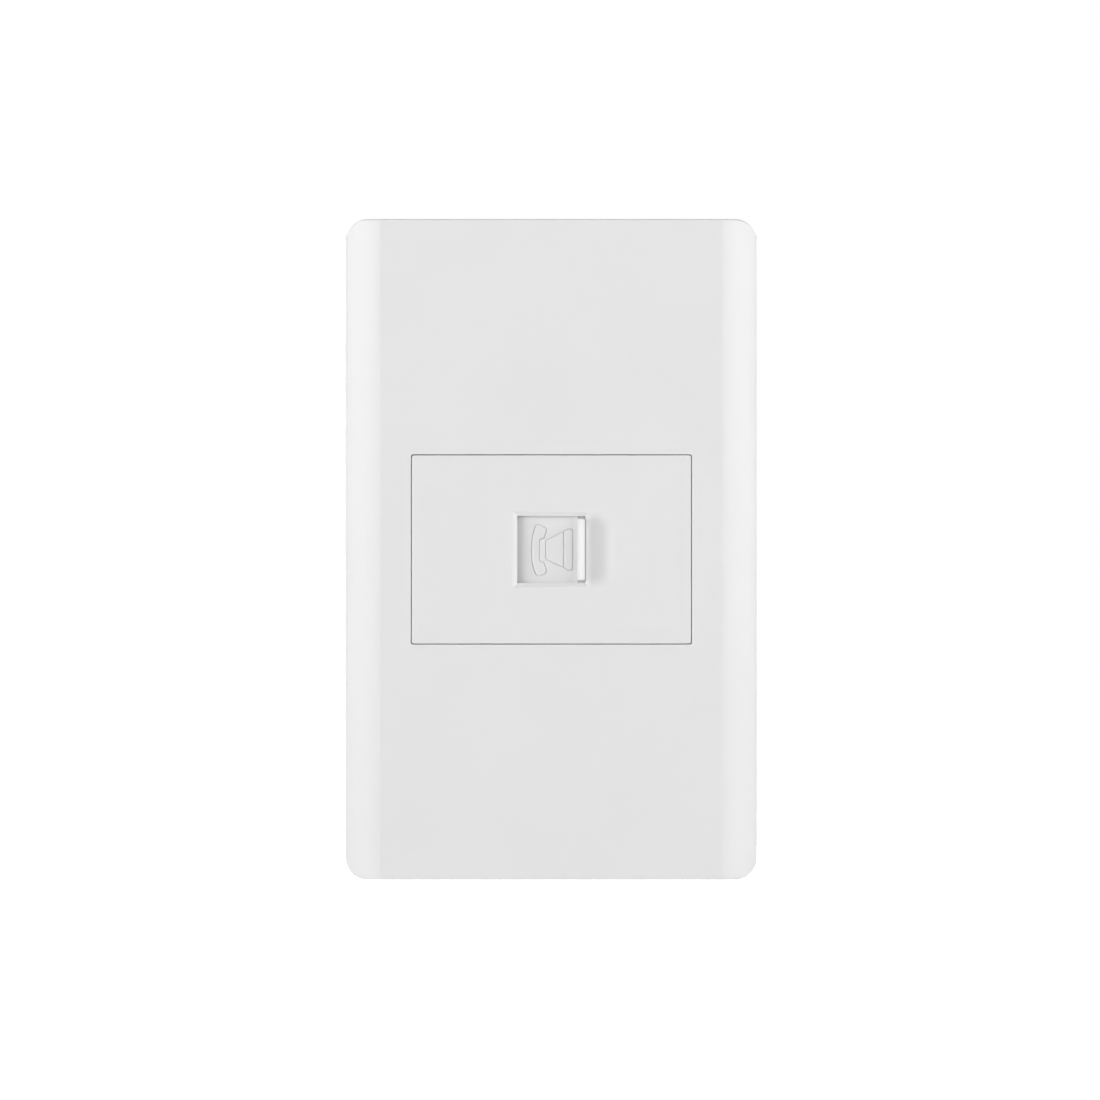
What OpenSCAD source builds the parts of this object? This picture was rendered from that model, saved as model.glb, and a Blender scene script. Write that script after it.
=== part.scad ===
// Telephone wall socket: a clip-on wall plate, the mounting frame that is
// screwed to the wall box, and a telephone module whose modular jack is
// closed by a sliding, sprung shutter.
//
// Every piece is drawn in the plate's own plan: x to the right, y up the
// wall and z out of the wall towards the viewer, with z = 0 on the wall.
// on_wall() then stands the drawing upright: the front faces -Y and +Z is up.

/* [Wall plate] */
// Width of the wall plate
plate_w = 75; // [71:0.5:90]
// Height of the wall plate
plate_h = 120; // [114:0.5:140]
// Stand-off of the plate's flat front from the wall
plate_t = 8.5; // [8.2:0.1:10]
// Corner radius of the plate seen from the front
plate_corner_r = 4; // [2.5:0.5:8]
// Wall thickness of the plate
plate_wall = 1.8; // [1.4:0.1:2.2]
// Width of the curved flank along each long side
flank_w = 6.5; // [5:0.25:7.5]
// Radius of the flank's curve
flank_r = 12; // [11:0.5:16]
// Slope at which the flank leaves the flat front, in degrees
flank_slope = 10; // [6:1:13]
// Radius where the flank turns down to the wall
rim_r = 1.5; // [0.8:0.1:2]
// Gap all round between the module and the plate's window
reveal = 0.15; // [0.1:0.05:0.3]
// Thickness of the collar behind the window
collar_t = 1.2; // [0.8:0.1:1.6]
// Depth of the collar behind the plate's inner face
collar_d = 2; // [1:0.1:2.4]
// Width of each snap hook
hook_w = 8; // [5:0.5:12]
// Thickness of each snap hook
hook_t = 0.9; // [0.7:0.1:1.2]
// Reach of the barb on each snap hook
barb = 0.7; // [0.5:0.1:0.9]
// Distance between the upper and the lower snap hooks
hook_pitch = 76; // [60:1:90]
// Width of the lever notch in the bottom rim
lever_notch_w = 10; // [6:0.5:14]

/* [Mounting frame] */
// Thickness of the frame's web
frame_t = 2; // [1.8:0.1:2.5]
// Height of the frame's ribs above the wall
frame_rib_h = 3.6; // [3:0.1:4]
// Thickness of the frame's ribs
frame_rib_t = 1.2; // [0.8:0.1:1.6]
// Distance between the two wall box screws
screw_pitch = 83.5; // [80:0.5:86]
// Width of the screw slots
slot_w = 4.4; // [4:0.1:5]
// Length of the screw slots
slot_l = 8; // [6:0.5:10]
// Depth of the cored pockets in the frame's back
pocket_d = 0.8; // [0.4:0.1:1]

/* [Module] */
// Width of the module's face
module_w = 50.7; // [50:0.1:52]
// Height of the module's face
module_h = 34.2; // [33.5:0.1:36]
// Thickness of the module's side walls
module_wall = 1.4; // [1.2:0.1:1.6]
// Thickness of the module's face
face_t = 1.5; // [1.3:0.1:1.6]
// Reach of the wings that hold the module in the frame
wing_w = 2.65; // [2:0.05:3.2]
// Thickness of those wings
wing_t = 1.6; // [1.2:0.1:1.8]
// Width of the opening in the face
opening_w = 12.4; // [12:0.1:12.8]
// Height of the opening in the face
opening_h = 12.2; // [11.8:0.1:12.6]
// Depth of the bevel round the opening
bevel_d = 0.4; // [0.2:0.05:0.6]
// Width of the bevel on the opening's left
bevel_left = 1.2; // [0.4:0.1:1.4]
// Width of the bevel above and below the opening
bevel_ends = 0.6; // [0.3:0.1:0.8]
// Width of the bevel on the opening's right, where it runs out into the scoop
bevel_right = 0.4; // [0.2:0.1:0.6]
// Radius of the finger scoop beside the opening
scoop_r = 3.8; // [3:0.1:4.4]
// Depth of the finger scoop
scoop_d = 1.1; // [0.4:0.05:1.1]
// Straight length of the finger scoop
scoop_l = 8.2; // [6:0.1:8.4]
// Distance from the opening to the deepest line of the finger scoop
scoop_in = 1.6; // [1.2:0.1:2]
// Wall kept under the finger scoop
scoop_wall = 0.9; // [0.6:0.1:1]

/* [Shutter] */
// Thickness of the shutter
door_t = 1.1; // [1:0.05:1.2]
// Width of the grip ridge on the shutter
ridge_w = 1.2; // [0.9:0.1:1.6]
// Length of the grip ridge
ridge_l = 11.3; // [9:0.1:11.4]
// How far the ridge's crest stays below the face
ridge_drop = 0.1; // [0.1:0.05:0.5]
// Thickness of the shutter's guide
guide_t = 1.3; // [1.1:0.05:1.4]
// Outer diameter of the return spring
spring_d = 2.4; // [2:0.1:2.4]
// Wire diameter of the return spring
spring_wire = 0.2; // [0.15:0.01:0.22]
// Turns of the return spring
spring_turns = 16; // [12:1:16]

/* [Jack] */
// Depth of the jack from its mouth to the circuit board
jack_depth = 14; // [13.5:0.1:16]
// Width of the jack, across its contacts
jack_w = 13.2; // [12.6:0.1:13.6]
// Height of the plug cavity
plug_h = 6.9; // [6.8:0.05:7]
// Width of the plug cavity
plug_w = 9.9; // [9.8:0.05:10]
// Depth of the plug cavity
plug_depth = 11.8; // [11.5:0.1:12.2]
// Width of the latch keyway
key_w = 6.2; // [6:0.1:6.6]
// Height of the latch keyway
key_h = 1.95; // [1.8:0.05:2]
// Gap between the two latch stops
key_gap = 3.4; // [3.2:0.1:4]
// Diameter of each contact wire
wire_d = 0.45; // [0.35:0.05:0.5]
// Distance between contact wires
wire_pitch = 1.02; // [1:0.01:1.1]

/* [Circuit board and terminals] */
// Thickness of the circuit board
board_t = 1.6; // [1:0.1:2]
// Distance between terminals
pole_pitch = 5.08; // [5:0.01:5.2]
// Height of the terminal block
block_h = 9.5; // [9.2:0.1:11]
// Depth of the terminal block
block_d = 9.4; // [9:0.1:10]
// Head diameter of the screws that hold the board
board_screw_head = 4.2; // [3.6:0.1:4.6]
// Shank diameter of the screws that hold the board
board_screw_shank = 2; // [1.8:0.1:2.2]

/* [Fits] */
// Gap in front of and behind the sliding shutter
slide_gap = 0.12; // [0.1:0.01:0.15]
// Gap between pieces that are pushed together
fit = 0.25; // [0.15:0.05:0.3]

/* [Hidden] */
$fn = 48;

// Surplus by which a cutting shape runs past the surface that it cuts
over = 1;
// Depth by which two shapes of one piece run into each other
join = 0.3;
small_r = 0.4;

// Plate outline: the flank's arc, and the rim's arc that meets it tangentially
half_w = plate_w / 2;
crease_x = half_w - flank_w;
flank_c = [crease_x - flank_r * sin(flank_slope), plate_t - flank_r * cos(flank_slope)];
rim_x = half_w - rim_r;
rim_c = [rim_x, flank_c[1] + sqrt(pow(flank_r - rim_r, 2) - pow(rim_x - flank_c[0], 2))];
tangent_a = atan2(rim_c[1] - flank_c[1], rim_c[0] - flank_c[0]);
cavity_x = half_w - plate_wall;
cavity_r = flank_r - plate_wall;
cavity_a = acos((cavity_x - flank_c[0]) / cavity_r);
hook_x = cavity_x - hook_t;
hook_gap = 0.3;
barb_z = [0.3, 1, 1.3];
barb_gap = [0.1, 0.15];
notch_gap = 0.5;
lever_notch_h = 1.2;
stiffener_t = 1;
stiffener_h = 1.2;
stiffener_in = 6;

// Mounting frame: pads beside the hooks, bosses under the screws, ribs,
// cored pockets and the fingers that hold the module
pad_w = 3.6;
screw_boss_r = 6.5;
screw_boss_h = 0.6;
rib_in = 7;
frame_edge = 3;
finger_w = 5;
finger_t = 1.2;
finger_in = 4.2;
finger_nose = 0.7;
finger_nose_h = 1.3;

// Levels of the layers, from the face back into the wall box
face_z = plate_t - face_t;
door_z = face_z - slide_gap;
guide_z = door_z - door_t - slide_gap;
deck_z = guide_z - guide_t;
deck_t = 1.4;
board_z = deck_z - jack_depth;
board_back_z = board_z - board_t;
housing_rim = 0.8;
housing_back_z = board_back_z - housing_rim;
block_back_z = board_back_z - block_h;

// Module, housing and board outlines
inner_w = module_w - 2 * module_wall;
inner_h = module_h - 2 * module_wall;
housing_w = inner_w - 2 * fit;
housing_h = inner_h - 2 * fit;
housing_wall = 1.4;
ledge = 2.6;
board_gap = 0.2;
board_w = housing_w - 2 * housing_wall - 2 * board_gap;
board_h = housing_h - 2 * housing_wall - 2 * board_gap;
module_gap = 0.6;
lug_x = 14;
lug_w = 5;
lug_reach = 0.9;
lug_z = [frame_t + 0.9, frame_t + 2.1];
wing_h = module_h - 8;

// Shutter: closed at x = 0 travel, it slides to the left
ridge_gap = 0.1;
ridge_x = opening_w / 2 - ridge_gap - ridge_w;
travel = opening_w - ridge_w - 2 * ridge_gap;
door_x = [-opening_w / 2 - 1.4, opening_w / 2 + 0.55];
door_h = opening_h + 2.2;
rail_y = door_h / 2 + 0.15;
rail_t = 1.1;
stop_x = door_x[1] + 0.1;
spring_z = (deck_z + face_z) / 2;
trough_h = spring_d + 0.5;
lug_h = spring_d + 0.1;
guide_x = [-inner_w / 2 + 0.35, stop_x + 5.2];
guide_h = 22.6;
seat_x = guide_x[0] + 1.2;
spring_x = [seat_x, door_x[0]];
post_r = 1;
post_x = [guide_x[0] + 2.6, guide_x[1] - 1.8];
post_y = guide_h / 2 - 1.8;

// Jack: the cavity starts just beyond the edge of the opened shutter
cavity_x0 = door_x[1] - travel + 0.35;
cavity_x1 = cavity_x0 + plug_h;
key_x = cavity_x1 + key_h;
jack_x = [cavity_x0 - 3.7, key_x + 1.45];
cavity_z = deck_z - plug_depth;
stop_t = 1.4;
latch_z = deck_z - stop_t;
latch_clear = 0.7;
// The contact wires rise behind the cavity in two staggered rows, turn over
// the comb and slope back into the cavity
wire_row_x = [cavity_x0 - 1.4, cavity_x0 - 2.7];
wire_top_z = deck_z - 1.66;
wire_bend_x = cavity_x0 - 0.65;
wire_tip = [cavity_x0 + 3, cavity_z + 1];
wire_bend_r = 0.4;
wire_slot = wire_d + 0.2;
wire_slot_z = cavity_z + 6.6;
wire_lid_z = wire_top_z + 0.6;
comb_x = cavity_x0 + 3.5;
comb_root_x = comb_x - 2.6;
comb_h = 4 * wire_pitch + 1.1;
comb_z = cavity_z + 2.1;
solder_tail = 1.2;
solder_gap = 0.15;
jack_gap = 0.15;
peg_r = 1.3;
peg_gap = 0.1;
peg_x = key_x - 2.6;
peg_y = jack_w / 2 - 2.3;
peg_z = board_back_z + 0.2;

// Terminal block: wires enter from below, screws face the back. Its pins
// come through the board beside the jack
pin_r = 0.5;
pin_gap = 0.8;
pin_end = 1;
pole_y = -(jack_w / 2 + pin_gap + pin_r);
block_y = [pole_y - block_d / 2, pole_y + block_d / 2];
block_end_t = 0.3;
block_w = 4 * pole_pitch + 2 * block_end_t;
block_chamfer = [1.3, 3.4];
block_edge = 0.8;
cage = [3.9, 4.8, 5.2];
cage_gap = 0.1;
cage_room = 0.35;
cage_floor_t = 1.2;
cage_top_t = 1.1;
floor_z = board_back_z - cage_floor_t;
cage_hole_w = 2.7;
cage_hole_h = 2.9;
cage_hole_z = floor_z - cage_top_t;
entry_h = 3.2;
entry_flare = 0.9;
screw_shank_r = 1.15;
screw_head_r = 1.5;
screw_head_h = 1.6;
screw_lift = 0.55;
screw_slot_w = 0.6;
screw_slot_d = 0.8;
clamp_open = 0.9;
thread_gap = 0.05;

// Screws that hold the board
board_screw_in = 4.6;
board_screw_x = board_w / 2 - board_screw_in;
board_screw_l = 8;
board_screw_head_h = 1.7;
cross_w = 0.7;
cross_l = 2.6;
cross_d = 1;
boss_r = 2.6;

white = [0.93, 0.93, 0.92];
nylon = [0.86, 0.86, 0.84];
steel = [0.72, 0.72, 0.73];
gold = [0.88, 0.72, 0.33];
board_green = [0.06, 0.36, 0.2];
block_blue = [0.1, 0.3, 0.62];
jack_black = [0.1, 0.1, 0.11];

// Helpers

function unit(v) = v / norm(v);
function point_on(c, r, a) = c + r * [cos(a), sin(a)];
function arc(c, r, a0, a1, n) = [for (i = [0:n]) point_on(c, r, a0 + (a1 - a0) * i / n)];
function mirrored(points) = [for (i = [len(points) - 1:-1:0]) [-points[i][0], points[i][1]]];
function near_turn(a) = a > 180 ? a - 360 : a < -180 ? a + 360 : a;

// The rounded corner at b of a path from a through b to c
function rounded(a, b, c, r, n) =
    let (
        u = unit(a - b),
        v = unit(c - b),
        half = acos(u * v) / 2,
        centre = b + unit(u + v) * r / sin(half),
        p = b + u * r / tan(half) - centre,
        q = b + v * r / tan(half) - centre,
        start = atan2(p[1], p[0]),
        turn = near_turn(atan2(q[1], q[0]) - start)
    ) [for (i = [0:n]) point_on(centre, r, start + turn * i / n)];

module on_wall() {
    rotate([90, 0, 0]) children();
}

module round_rect(w, h, r) {
    steps = 8;
    x = w / 2 - r;
    y = h / 2 - r;
    polygon(concat(
        arc([x, y], r, 0, 90, steps),
        arc([-x, y], r, 90, 180, steps),
        arc([-x, -y], r, 180, 270, steps),
        arc([x, -y], r, 270, 360, steps)
    ));
}

module slab(w, h, r, z0, z1) {
    translate([0, 0, z0]) linear_extrude(z1 - z0) round_rect(w, h, r);
}

module box(x, y, z) {
    translate([x[0], y[0], z[0]]) cube([x[1] - x[0], y[1] - y[0], z[1] - z[0]]);
}

module post(x, y, r, z0, z1) {
    translate([x, y, z0]) cylinder(r = r, h = z1 - z0);
}

// A profile drawn in x and z, and drawn out along y over the length h
module along_y(h) {
    rotate([90, 0, 0]) linear_extrude(h, center = true) children();
}

// A profile drawn in y and z, and drawn out along x over the width w
module along_x(w) {
    rotate([90, 0, 90]) linear_extrude(w, center = true) children();
}

module both_sides() {
    children();
    mirror([1, 0, 0]) children();
}

module both_ends() {
    children();
    mirror([0, 1, 0]) children();
}

// A closed tube through the path's rings, each ring a list of 3D points
module skin(rings) {
    sides = len(rings[0]);
    last = len(rings) - 1;
    points = [for (ring = rings) each ring];
    walls = [
        for (i = [0:last - 1]) for (j = [0:sides - 1])
            let (k = (j + 1) % sides)
            [i * sides + j, (i + 1) * sides + j, (i + 1) * sides + k, i * sides + k]
    ];
    start = [for (j = [0:sides - 1]) j];
    end = [for (j = [sides - 1:-1:0]) last * sides + j];
    polyhedron(points, concat([start, end], walls), convexity = 8);
}

// Wall plate

outer_half = concat(
    [[half_w, 0]],
    arc(rim_c, rim_r, 0, tangent_a, 8),
    arc(flank_c, flank_r, tangent_a, 90 - flank_slope, 16)
);
inner_half = concat(
    [[cavity_x, -over]],
    arc(flank_c, cavity_r, cavity_a, 90 - flank_slope, 16)
);

module plate_form() {
    intersection() {
        along_y(plate_h) polygon(concat(outer_half, mirrored(outer_half)));
        slab(plate_w, plate_h, plate_corner_r, 0, plate_t);
    }
}

module plate_cavity() {
    r = max(plate_corner_r - plate_wall, small_r);
    w = plate_w - 2 * plate_wall;
    h = plate_h - 2 * plate_wall;
    top = plate_t - plate_wall;
    intersection() {
        along_y(h) polygon(concat(inner_half, [[0, top]], mirrored(inner_half)));
        slab(w, h, r, -over, top);
    }
}

module snap_hook() {
    translate([0, hook_pitch / 2, 0]) {
        box([hook_x, half_w - plate_wall / 2], [-hook_w / 2, hook_w / 2], [barb_z[0], rim_c[1]]);
        along_y(hook_w) polygon([
            [hook_x + join, barb_z[0]],
            [hook_x, barb_z[0]],
            [hook_x - barb, barb_z[1]],
            [hook_x - barb, barb_z[2]],
            [hook_x + join, barb_z[2]]
        ]);
    }
}

module cover_plate() {
    window_w = module_w + 2 * reveal;
    window_h = module_h + 2 * reveal;
    inner_z = plate_t - plate_wall;
    stiffener_x = window_w / 2 - stiffener_in;
    stiffener_y = [window_h / 2 + collar_t - join, plate_h / 2 - plate_wall + join];
    color(white) difference() {
        union() {
            difference() {
                plate_form();
                plate_cavity();
            }
            slab(window_w + 2 * collar_t, window_h + 2 * collar_t, small_r + collar_t,
                inner_z - collar_d, inner_z + join);
            both_sides() both_ends() {
                snap_hook();
                box([stiffener_x - stiffener_t, stiffener_x], stiffener_y,
                    [inner_z - stiffener_h, inner_z + join]);
            }
        }
        slab(window_w, window_h, small_r, -over, plate_t + over);
        box([-lever_notch_w / 2, lever_notch_w / 2],
            [-plate_h / 2 - over, -plate_h / 2 + plate_wall + over], [-over, lever_notch_h]);
    }
}

// Mounting frame

// A spring finger that hooks over the module's wing
module frame_finger() {
    root_x = module_w / 2 + wing_w + fit;
    catch_z = frame_t + wing_t + barb_gap[0];
    top = catch_z + finger_nose_h;
    along_y(finger_w) polygon([
        [root_x, frame_t - join],
        [root_x, catch_z],
        [root_x - finger_nose, catch_z],
        [root_x - finger_nose, catch_z + join],
        [root_x, top],
        [root_x + finger_t, top],
        [root_x + finger_t, frame_t - join]
    ]);
}

module screw_slot() {
    ends = slot_l / 2 - slot_w / 2;
    for (side = [-1, 1])
        post(0, screw_pitch / 2 + side * ends, slot_w / 2, -over, frame_t + over);
    translate([0, screw_pitch / 2, 0])
        box([-slot_w / 2, slot_w / 2], [-ends, ends], [-over, frame_t + over]);
}

module mounting_frame() {
    frame_w = plate_w - 2 * plate_wall - 2 * hook_gap;
    frame_h = plate_h - 2 * plate_wall - 2 * hook_gap;
    frame_r = max(plate_corner_r - plate_wall - hook_gap, small_r);
    opening = [housing_w + 2 * module_gap, housing_h + 2 * module_gap];
    pad = [hook_x - pad_w, hook_x - hook_gap];
    notch_y = [hook_pitch / 2 - hook_w / 2 - notch_gap, hook_pitch / 2 + hook_w / 2 + notch_gap];
    rib_x = opening[0] / 2 - rib_in;
    rib_y = [module_h / 2 + frame_edge / 2, frame_h / 2 - frame_rib_t / 2];
    finger_y = wing_h / 2 - finger_in;
    pocket_x = [slot_w / 2 + frame_edge / 2, rib_x - frame_edge / 2];
    pocket_y = [module_h / 2 + frame_edge, screw_pitch / 2 - slot_l / 2 - frame_edge];
    outer_pocket_y = [screw_pitch / 2 + slot_l / 2 + frame_edge, frame_h / 2 - frame_edge];
    color(nylon) difference() {
        union() {
            slab(frame_w, frame_h, frame_r, 0, frame_t);
            difference() {
                slab(frame_w, frame_h, frame_r, 0, frame_rib_h);
                slab(frame_w - 2 * frame_rib_t, frame_h - 2 * frame_rib_t,
                    max(frame_r - frame_rib_t, small_r), -over, frame_rib_h + over);
            }
            both_sides() both_ends() {
                box([pad[0], pad[1] + join], [notch_y[0] - frame_rib_t, notch_y[1] + frame_rib_t],
                    [0, frame_rib_h]);
                box([rib_x - frame_rib_t / 2, rib_x + frame_rib_t / 2], rib_y, [0, frame_rib_h]);
                translate([0, finger_y, 0]) frame_finger();
            }
            both_ends() post(0, screw_pitch / 2, screw_boss_r, 0, frame_t + screw_boss_h);
        }
        slab(opening[0], opening[1], small_r, -over, frame_rib_h + over);
        both_ends() screw_slot();
        both_sides() both_ends() {
            box([pad[1], frame_w / 2 + over], notch_y, [-over, frame_rib_h + over]);
            box([pad[1] - barb - barb_gap[0], frame_w / 2 + over], notch_y,
                [-over, barb_z[2] + barb_gap[1]]);
            box(pocket_x, pocket_y, [-over, pocket_d]);
            box(pocket_x, outer_pocket_y, [-over, pocket_d]);
            box([rib_x + frame_edge / 2, pad[0] - frame_edge / 2], pocket_y, [-over, pocket_d]);
        }
    }
}

// Module face

// A cutter whose mouth is wider than its root, for the bevel round the opening
module bevel_cutter() {
    root = [-opening_w / 2, opening_w / 2, opening_h / 2, plate_t - bevel_d];
    share = (bevel_d + over) / bevel_d;
    left = root[0] - bevel_left * share;
    right = root[1] + bevel_right * share;
    high = root[2] + bevel_ends * share;
    skin([
        [[root[1], -root[2], root[3]], [root[0], -root[2], root[3]],
            [root[0], root[2], root[3]], [root[1], root[2], root[3]]],
        [[right, -high, plate_t + over], [left, -high, plate_t + over],
            [left, high, plate_t + over], [right, high, plate_t + over]]
    ]);
}

// The finger scoop is a capsule that dips into the face beside the opening
module scoop_shape(grow = 0) {
    translate([opening_w / 2 + scoop_in, 0, plate_t - scoop_d + scoop_r]) {
        rotate([90, 0, 0]) cylinder(r = scoop_r + grow, h = scoop_l, center = true);
        both_ends() translate([0, scoop_l / 2, 0]) sphere(r = scoop_r + grow);
    }
}

// The face is thicker under the scoop, clear of the guide's stop
module scoop_pad() {
    intersection() {
        scoop_shape(scoop_wall);
        box([stop_x + rail_t + slide_gap, module_w / 2], [-rail_y, rail_y],
            [plate_t - scoop_d - scoop_wall, face_z + join]);
    }
}

module module_face() {
    color(white) difference() {
        union() {
            difference() {
                slab(module_w, module_h, small_r, frame_t, plate_t);
                slab(inner_w, inner_h, small_r, frame_t - over, face_z);
            }
            both_sides() box([module_w / 2 - join, module_w / 2 + wing_w],
                [-wing_h / 2, wing_h / 2], [frame_t, frame_t + wing_t]);
            for (x = post_x) both_ends() post(x, post_y, post_r, deck_z, face_z + join);
            scoop_pad();
        }
        box([-opening_w / 2, opening_w / 2], [-opening_h / 2, opening_h / 2],
            [face_z - over, plate_t + over]);
        bevel_cutter();
        scoop_shape();
        both_sides() both_ends() box([lug_x - lug_w / 2 - 0.2, lug_x + lug_w / 2 + 0.2],
            [inner_h / 2 - over, module_h / 2 + over], [lug_z[0] - 0.1, lug_z[1] + 0.1]);
    }
}

// Shutter and its spring

module shutter() {
    crest_z = plate_t - ridge_drop;
    foot_x = ridge_x + ridge_w;
    pin_l = 1.8;
    color(white) {
        box(door_x, [-door_h / 2, door_h / 2], [door_z - door_t, door_z]);
        along_y(ridge_l) polygon([
            [ridge_x, door_z - join],
            [ridge_x, door_z],
            [foot_x - 0.3, crest_z - 0.05],
            [foot_x - 0.15, crest_z],
            [foot_x, crest_z - 0.1],
            [foot_x, door_z - join]
        ]);
        box([door_x[0], door_x[0] + 2], [-lug_h / 2, lug_h / 2],
            [deck_z + slide_gap, door_z - door_t + join]);
        translate([door_x[0] + join, 0, spring_z]) rotate([0, -90, 0])
            cylinder(r = spring_d / 2 - spring_wire - 0.2, h = pin_l + join);
    }
}

// Share of the spring's free length reached after a number of turns: the
// first and the last turn lie closed
function spring_reach(turn) =
    let (
        length = spring_x[1] - spring_x[0] - spring_wire,
        closed = spring_wire * 1.1,
        open = (length - 2 * closed) / (spring_turns - 2)
    )
    turn <= 1 ? turn * closed :
    turn >= spring_turns - 1 ? length - (spring_turns - turn) * closed :
    closed + (turn - 1) * open;

module shutter_spring() {
    steps = 12;
    sides = 5;
    coil_r = (spring_d - spring_wire) / 2;
    rings = [
        for (i = [0:steps * spring_turns])
            let (
                a = 360 * i / steps,
                x = spring_x[0] + spring_wire / 2 + spring_reach(i / steps)
            )
            [for (j = [0:sides - 1])
                let (
                    b = 360 * j / sides,
                    r = coil_r + spring_wire / 2 * cos(b)
                )
                [x + spring_wire / 2 * sin(b), r * cos(a), spring_z + r * sin(a)]]
    ];
    color(steel) skin(rings);
}

module shutter_guide() {
    seat_y = trough_h / 2 + 0.8;
    color(white) difference() {
        union() {
            box(guide_x, [-guide_h / 2, guide_h / 2], [deck_z, guide_z]);
            both_ends() box([door_x[0] - travel - 1.2, stop_x + rail_t],
                [rail_y, rail_y + rail_t], [guide_z - join, face_z]);
            box([stop_x, stop_x + rail_t], [-rail_y - join, rail_y + join], [guide_z - join, face_z]);
            box([guide_x[0], seat_x], [-seat_y, seat_y], [deck_z, face_z]);
        }
        box([seat_x, door_x[0] + 2.2], [-trough_h / 2, trough_h / 2], [deck_z - over, face_z + over]);
        box([cavity_x0 - 0.2, key_x + 0.3], [-plug_w / 2 - 0.3, plug_w / 2 + 0.3],
            [deck_z - over, guide_z + over]);
        for (x = post_x) both_ends() post(x, post_y, post_r + 0.1, deck_z - over, guide_z + over);
    }
    color(white) translate([seat_x - join, 0, spring_z]) rotate([0, 90, 0])
        cylinder(r = spring_d / 2 - spring_wire - 0.2, h = 1.5 + join);
}

// Rear housing

module rear_housing() {
    deck_back = deck_z - deck_t;
    hole_end = board_back_z + board_screw_l + 2 * join;
    inside = [housing_w / 2 - housing_wall, housing_h / 2 - housing_wall];
    color(white) difference() {
        union() {
            difference() {
                slab(housing_w, housing_h, 1, housing_back_z, deck_z);
                slab(2 * inside[0], 2 * inside[1], small_r, housing_back_z - over, deck_back);
            }
            both_sides() {
                post(board_screw_x, 0, boss_r, board_z, deck_back + join);
                both_ends() {
                    box([inside[0] - ledge, inside[0] + join], [inside[1] - ledge, inside[1] + join],
                        [board_z, deck_back + join]);
                    translate([lug_x, 0, 0]) along_x(lug_w) polygon([
                        [housing_h / 2 - join, lug_z[0]],
                        [housing_h / 2 + 0.2, lug_z[0]],
                        [housing_h / 2 + lug_reach, lug_z[0] + 0.1],
                        [housing_h / 2 + lug_reach, lug_z[0] + 0.5],
                        [housing_h / 2, lug_z[1]],
                        [housing_h / 2 - join, lug_z[1]]
                    ]);
                }
            }
        }
        both_sides() post(board_screw_x, 0, board_screw_shank / 2 + thread_gap, board_z - over, hole_end);
        box([jack_x[0] - jack_gap, jack_x[1] + jack_gap], [-jack_w / 2 - jack_gap, jack_w / 2 + jack_gap],
            [deck_back - over, deck_z + over]);
        box([-block_w / 2 - fit, block_w / 2 + fit], [block_y[0] - fit, block_y[1] + fit],
            [housing_back_z - over, board_back_z + fit]);
    }
}

// Jack

function wire_y(i) = (i - 2.5) * wire_pitch;
function wire_row(i) = wire_row_x[i % 2];

module jack_body() {
    color(jack_black) difference() {
        union() {
            box(jack_x, [-jack_w / 2, jack_w / 2], [board_z, deck_z]);
            both_ends() post(peg_x, peg_y, peg_r, peg_z, board_z + join);
        }
        difference() {
            box([cavity_x0, cavity_x1], [-plug_w / 2, plug_w / 2], [cavity_z, deck_z + over]);
            box([cavity_x0 - over, comb_x], [-comb_h / 2, comb_h / 2], [cavity_z - over, comb_z]);
        }
        box([cavity_x1 - join, key_x], [-key_w / 2, key_w / 2], [cavity_z, latch_z]);
        box([cavity_x1 - join, cavity_x1 + latch_clear], [-key_w / 2, key_w / 2],
            [latch_z - join, deck_z + over]);
        box([cavity_x1 - join, key_x], [-key_gap / 2, key_gap / 2], [latch_z - join, deck_z + over]);
        for (i = [1:4]) {
            y = [wire_y(i) - wire_slot / 2, wire_y(i) + wire_slot / 2];
            x = wire_row(i);
            box([x - wire_slot / 2, x + wire_slot / 2], y, [board_z - over, wire_lid_z]);
            box([x - wire_slot / 2, cavity_x0 + join], y, [wire_slot_z, wire_lid_z]);
            box([comb_root_x, comb_x + over], y, [cavity_z, comb_z + over]);
        }
    }
}

module contact_wire(i) {
    x = wire_row(i);
    turn_in = [x, wire_top_z];
    turn_back = [wire_bend_x, wire_top_z];
    tail = [x, board_back_z - solder_tail];
    path = concat(
        [tail],
        rounded(tail, turn_in, turn_back, wire_bend_r, 6),
        rounded(turn_in, turn_back, wire_tip, wire_bend_r, 5),
        [wire_tip]
    );
    last = len(path) - 1;
    sides = 8;
    rings = [
        for (k = [0:last])
            let (
                way = unit(path[min(k + 1, last)] - path[max(k - 1, 0)]),
                across = [way[1], -way[0]]
            )
            [for (j = [0:sides - 1])
                let (
                    a = 360 * (j + 0.5) / sides,
                    q = path[k] + across * wire_d / 2 * cos(a)
                )
                [q[0], wire_y(i) + wire_d / 2 * sin(a), q[1]]]
    ];
    color(gold) skin(rings);
}

// Circuit board and terminals

function pole_x(i) = (i - 2.5) * pole_pitch;

module circuit_board() {
    z = [board_back_z - over, board_z + over];
    color(board_green) difference() {
        slab(board_w, board_h, small_r, board_back_z, board_z);
        both_sides() post(board_screw_x, 0, board_screw_shank / 2 + board_gap, z[0], z[1]);
        both_ends() post(peg_x, peg_y, peg_r + peg_gap, z[0], z[1]);
        for (i = [1:4]) {
            post(wire_row(i), wire_y(i), wire_d / 2 + solder_gap, z[0], z[1]);
            post(pole_x(i), pole_y, pin_r + cage_gap, z[0], z[1]);
        }
    }
}

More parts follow.
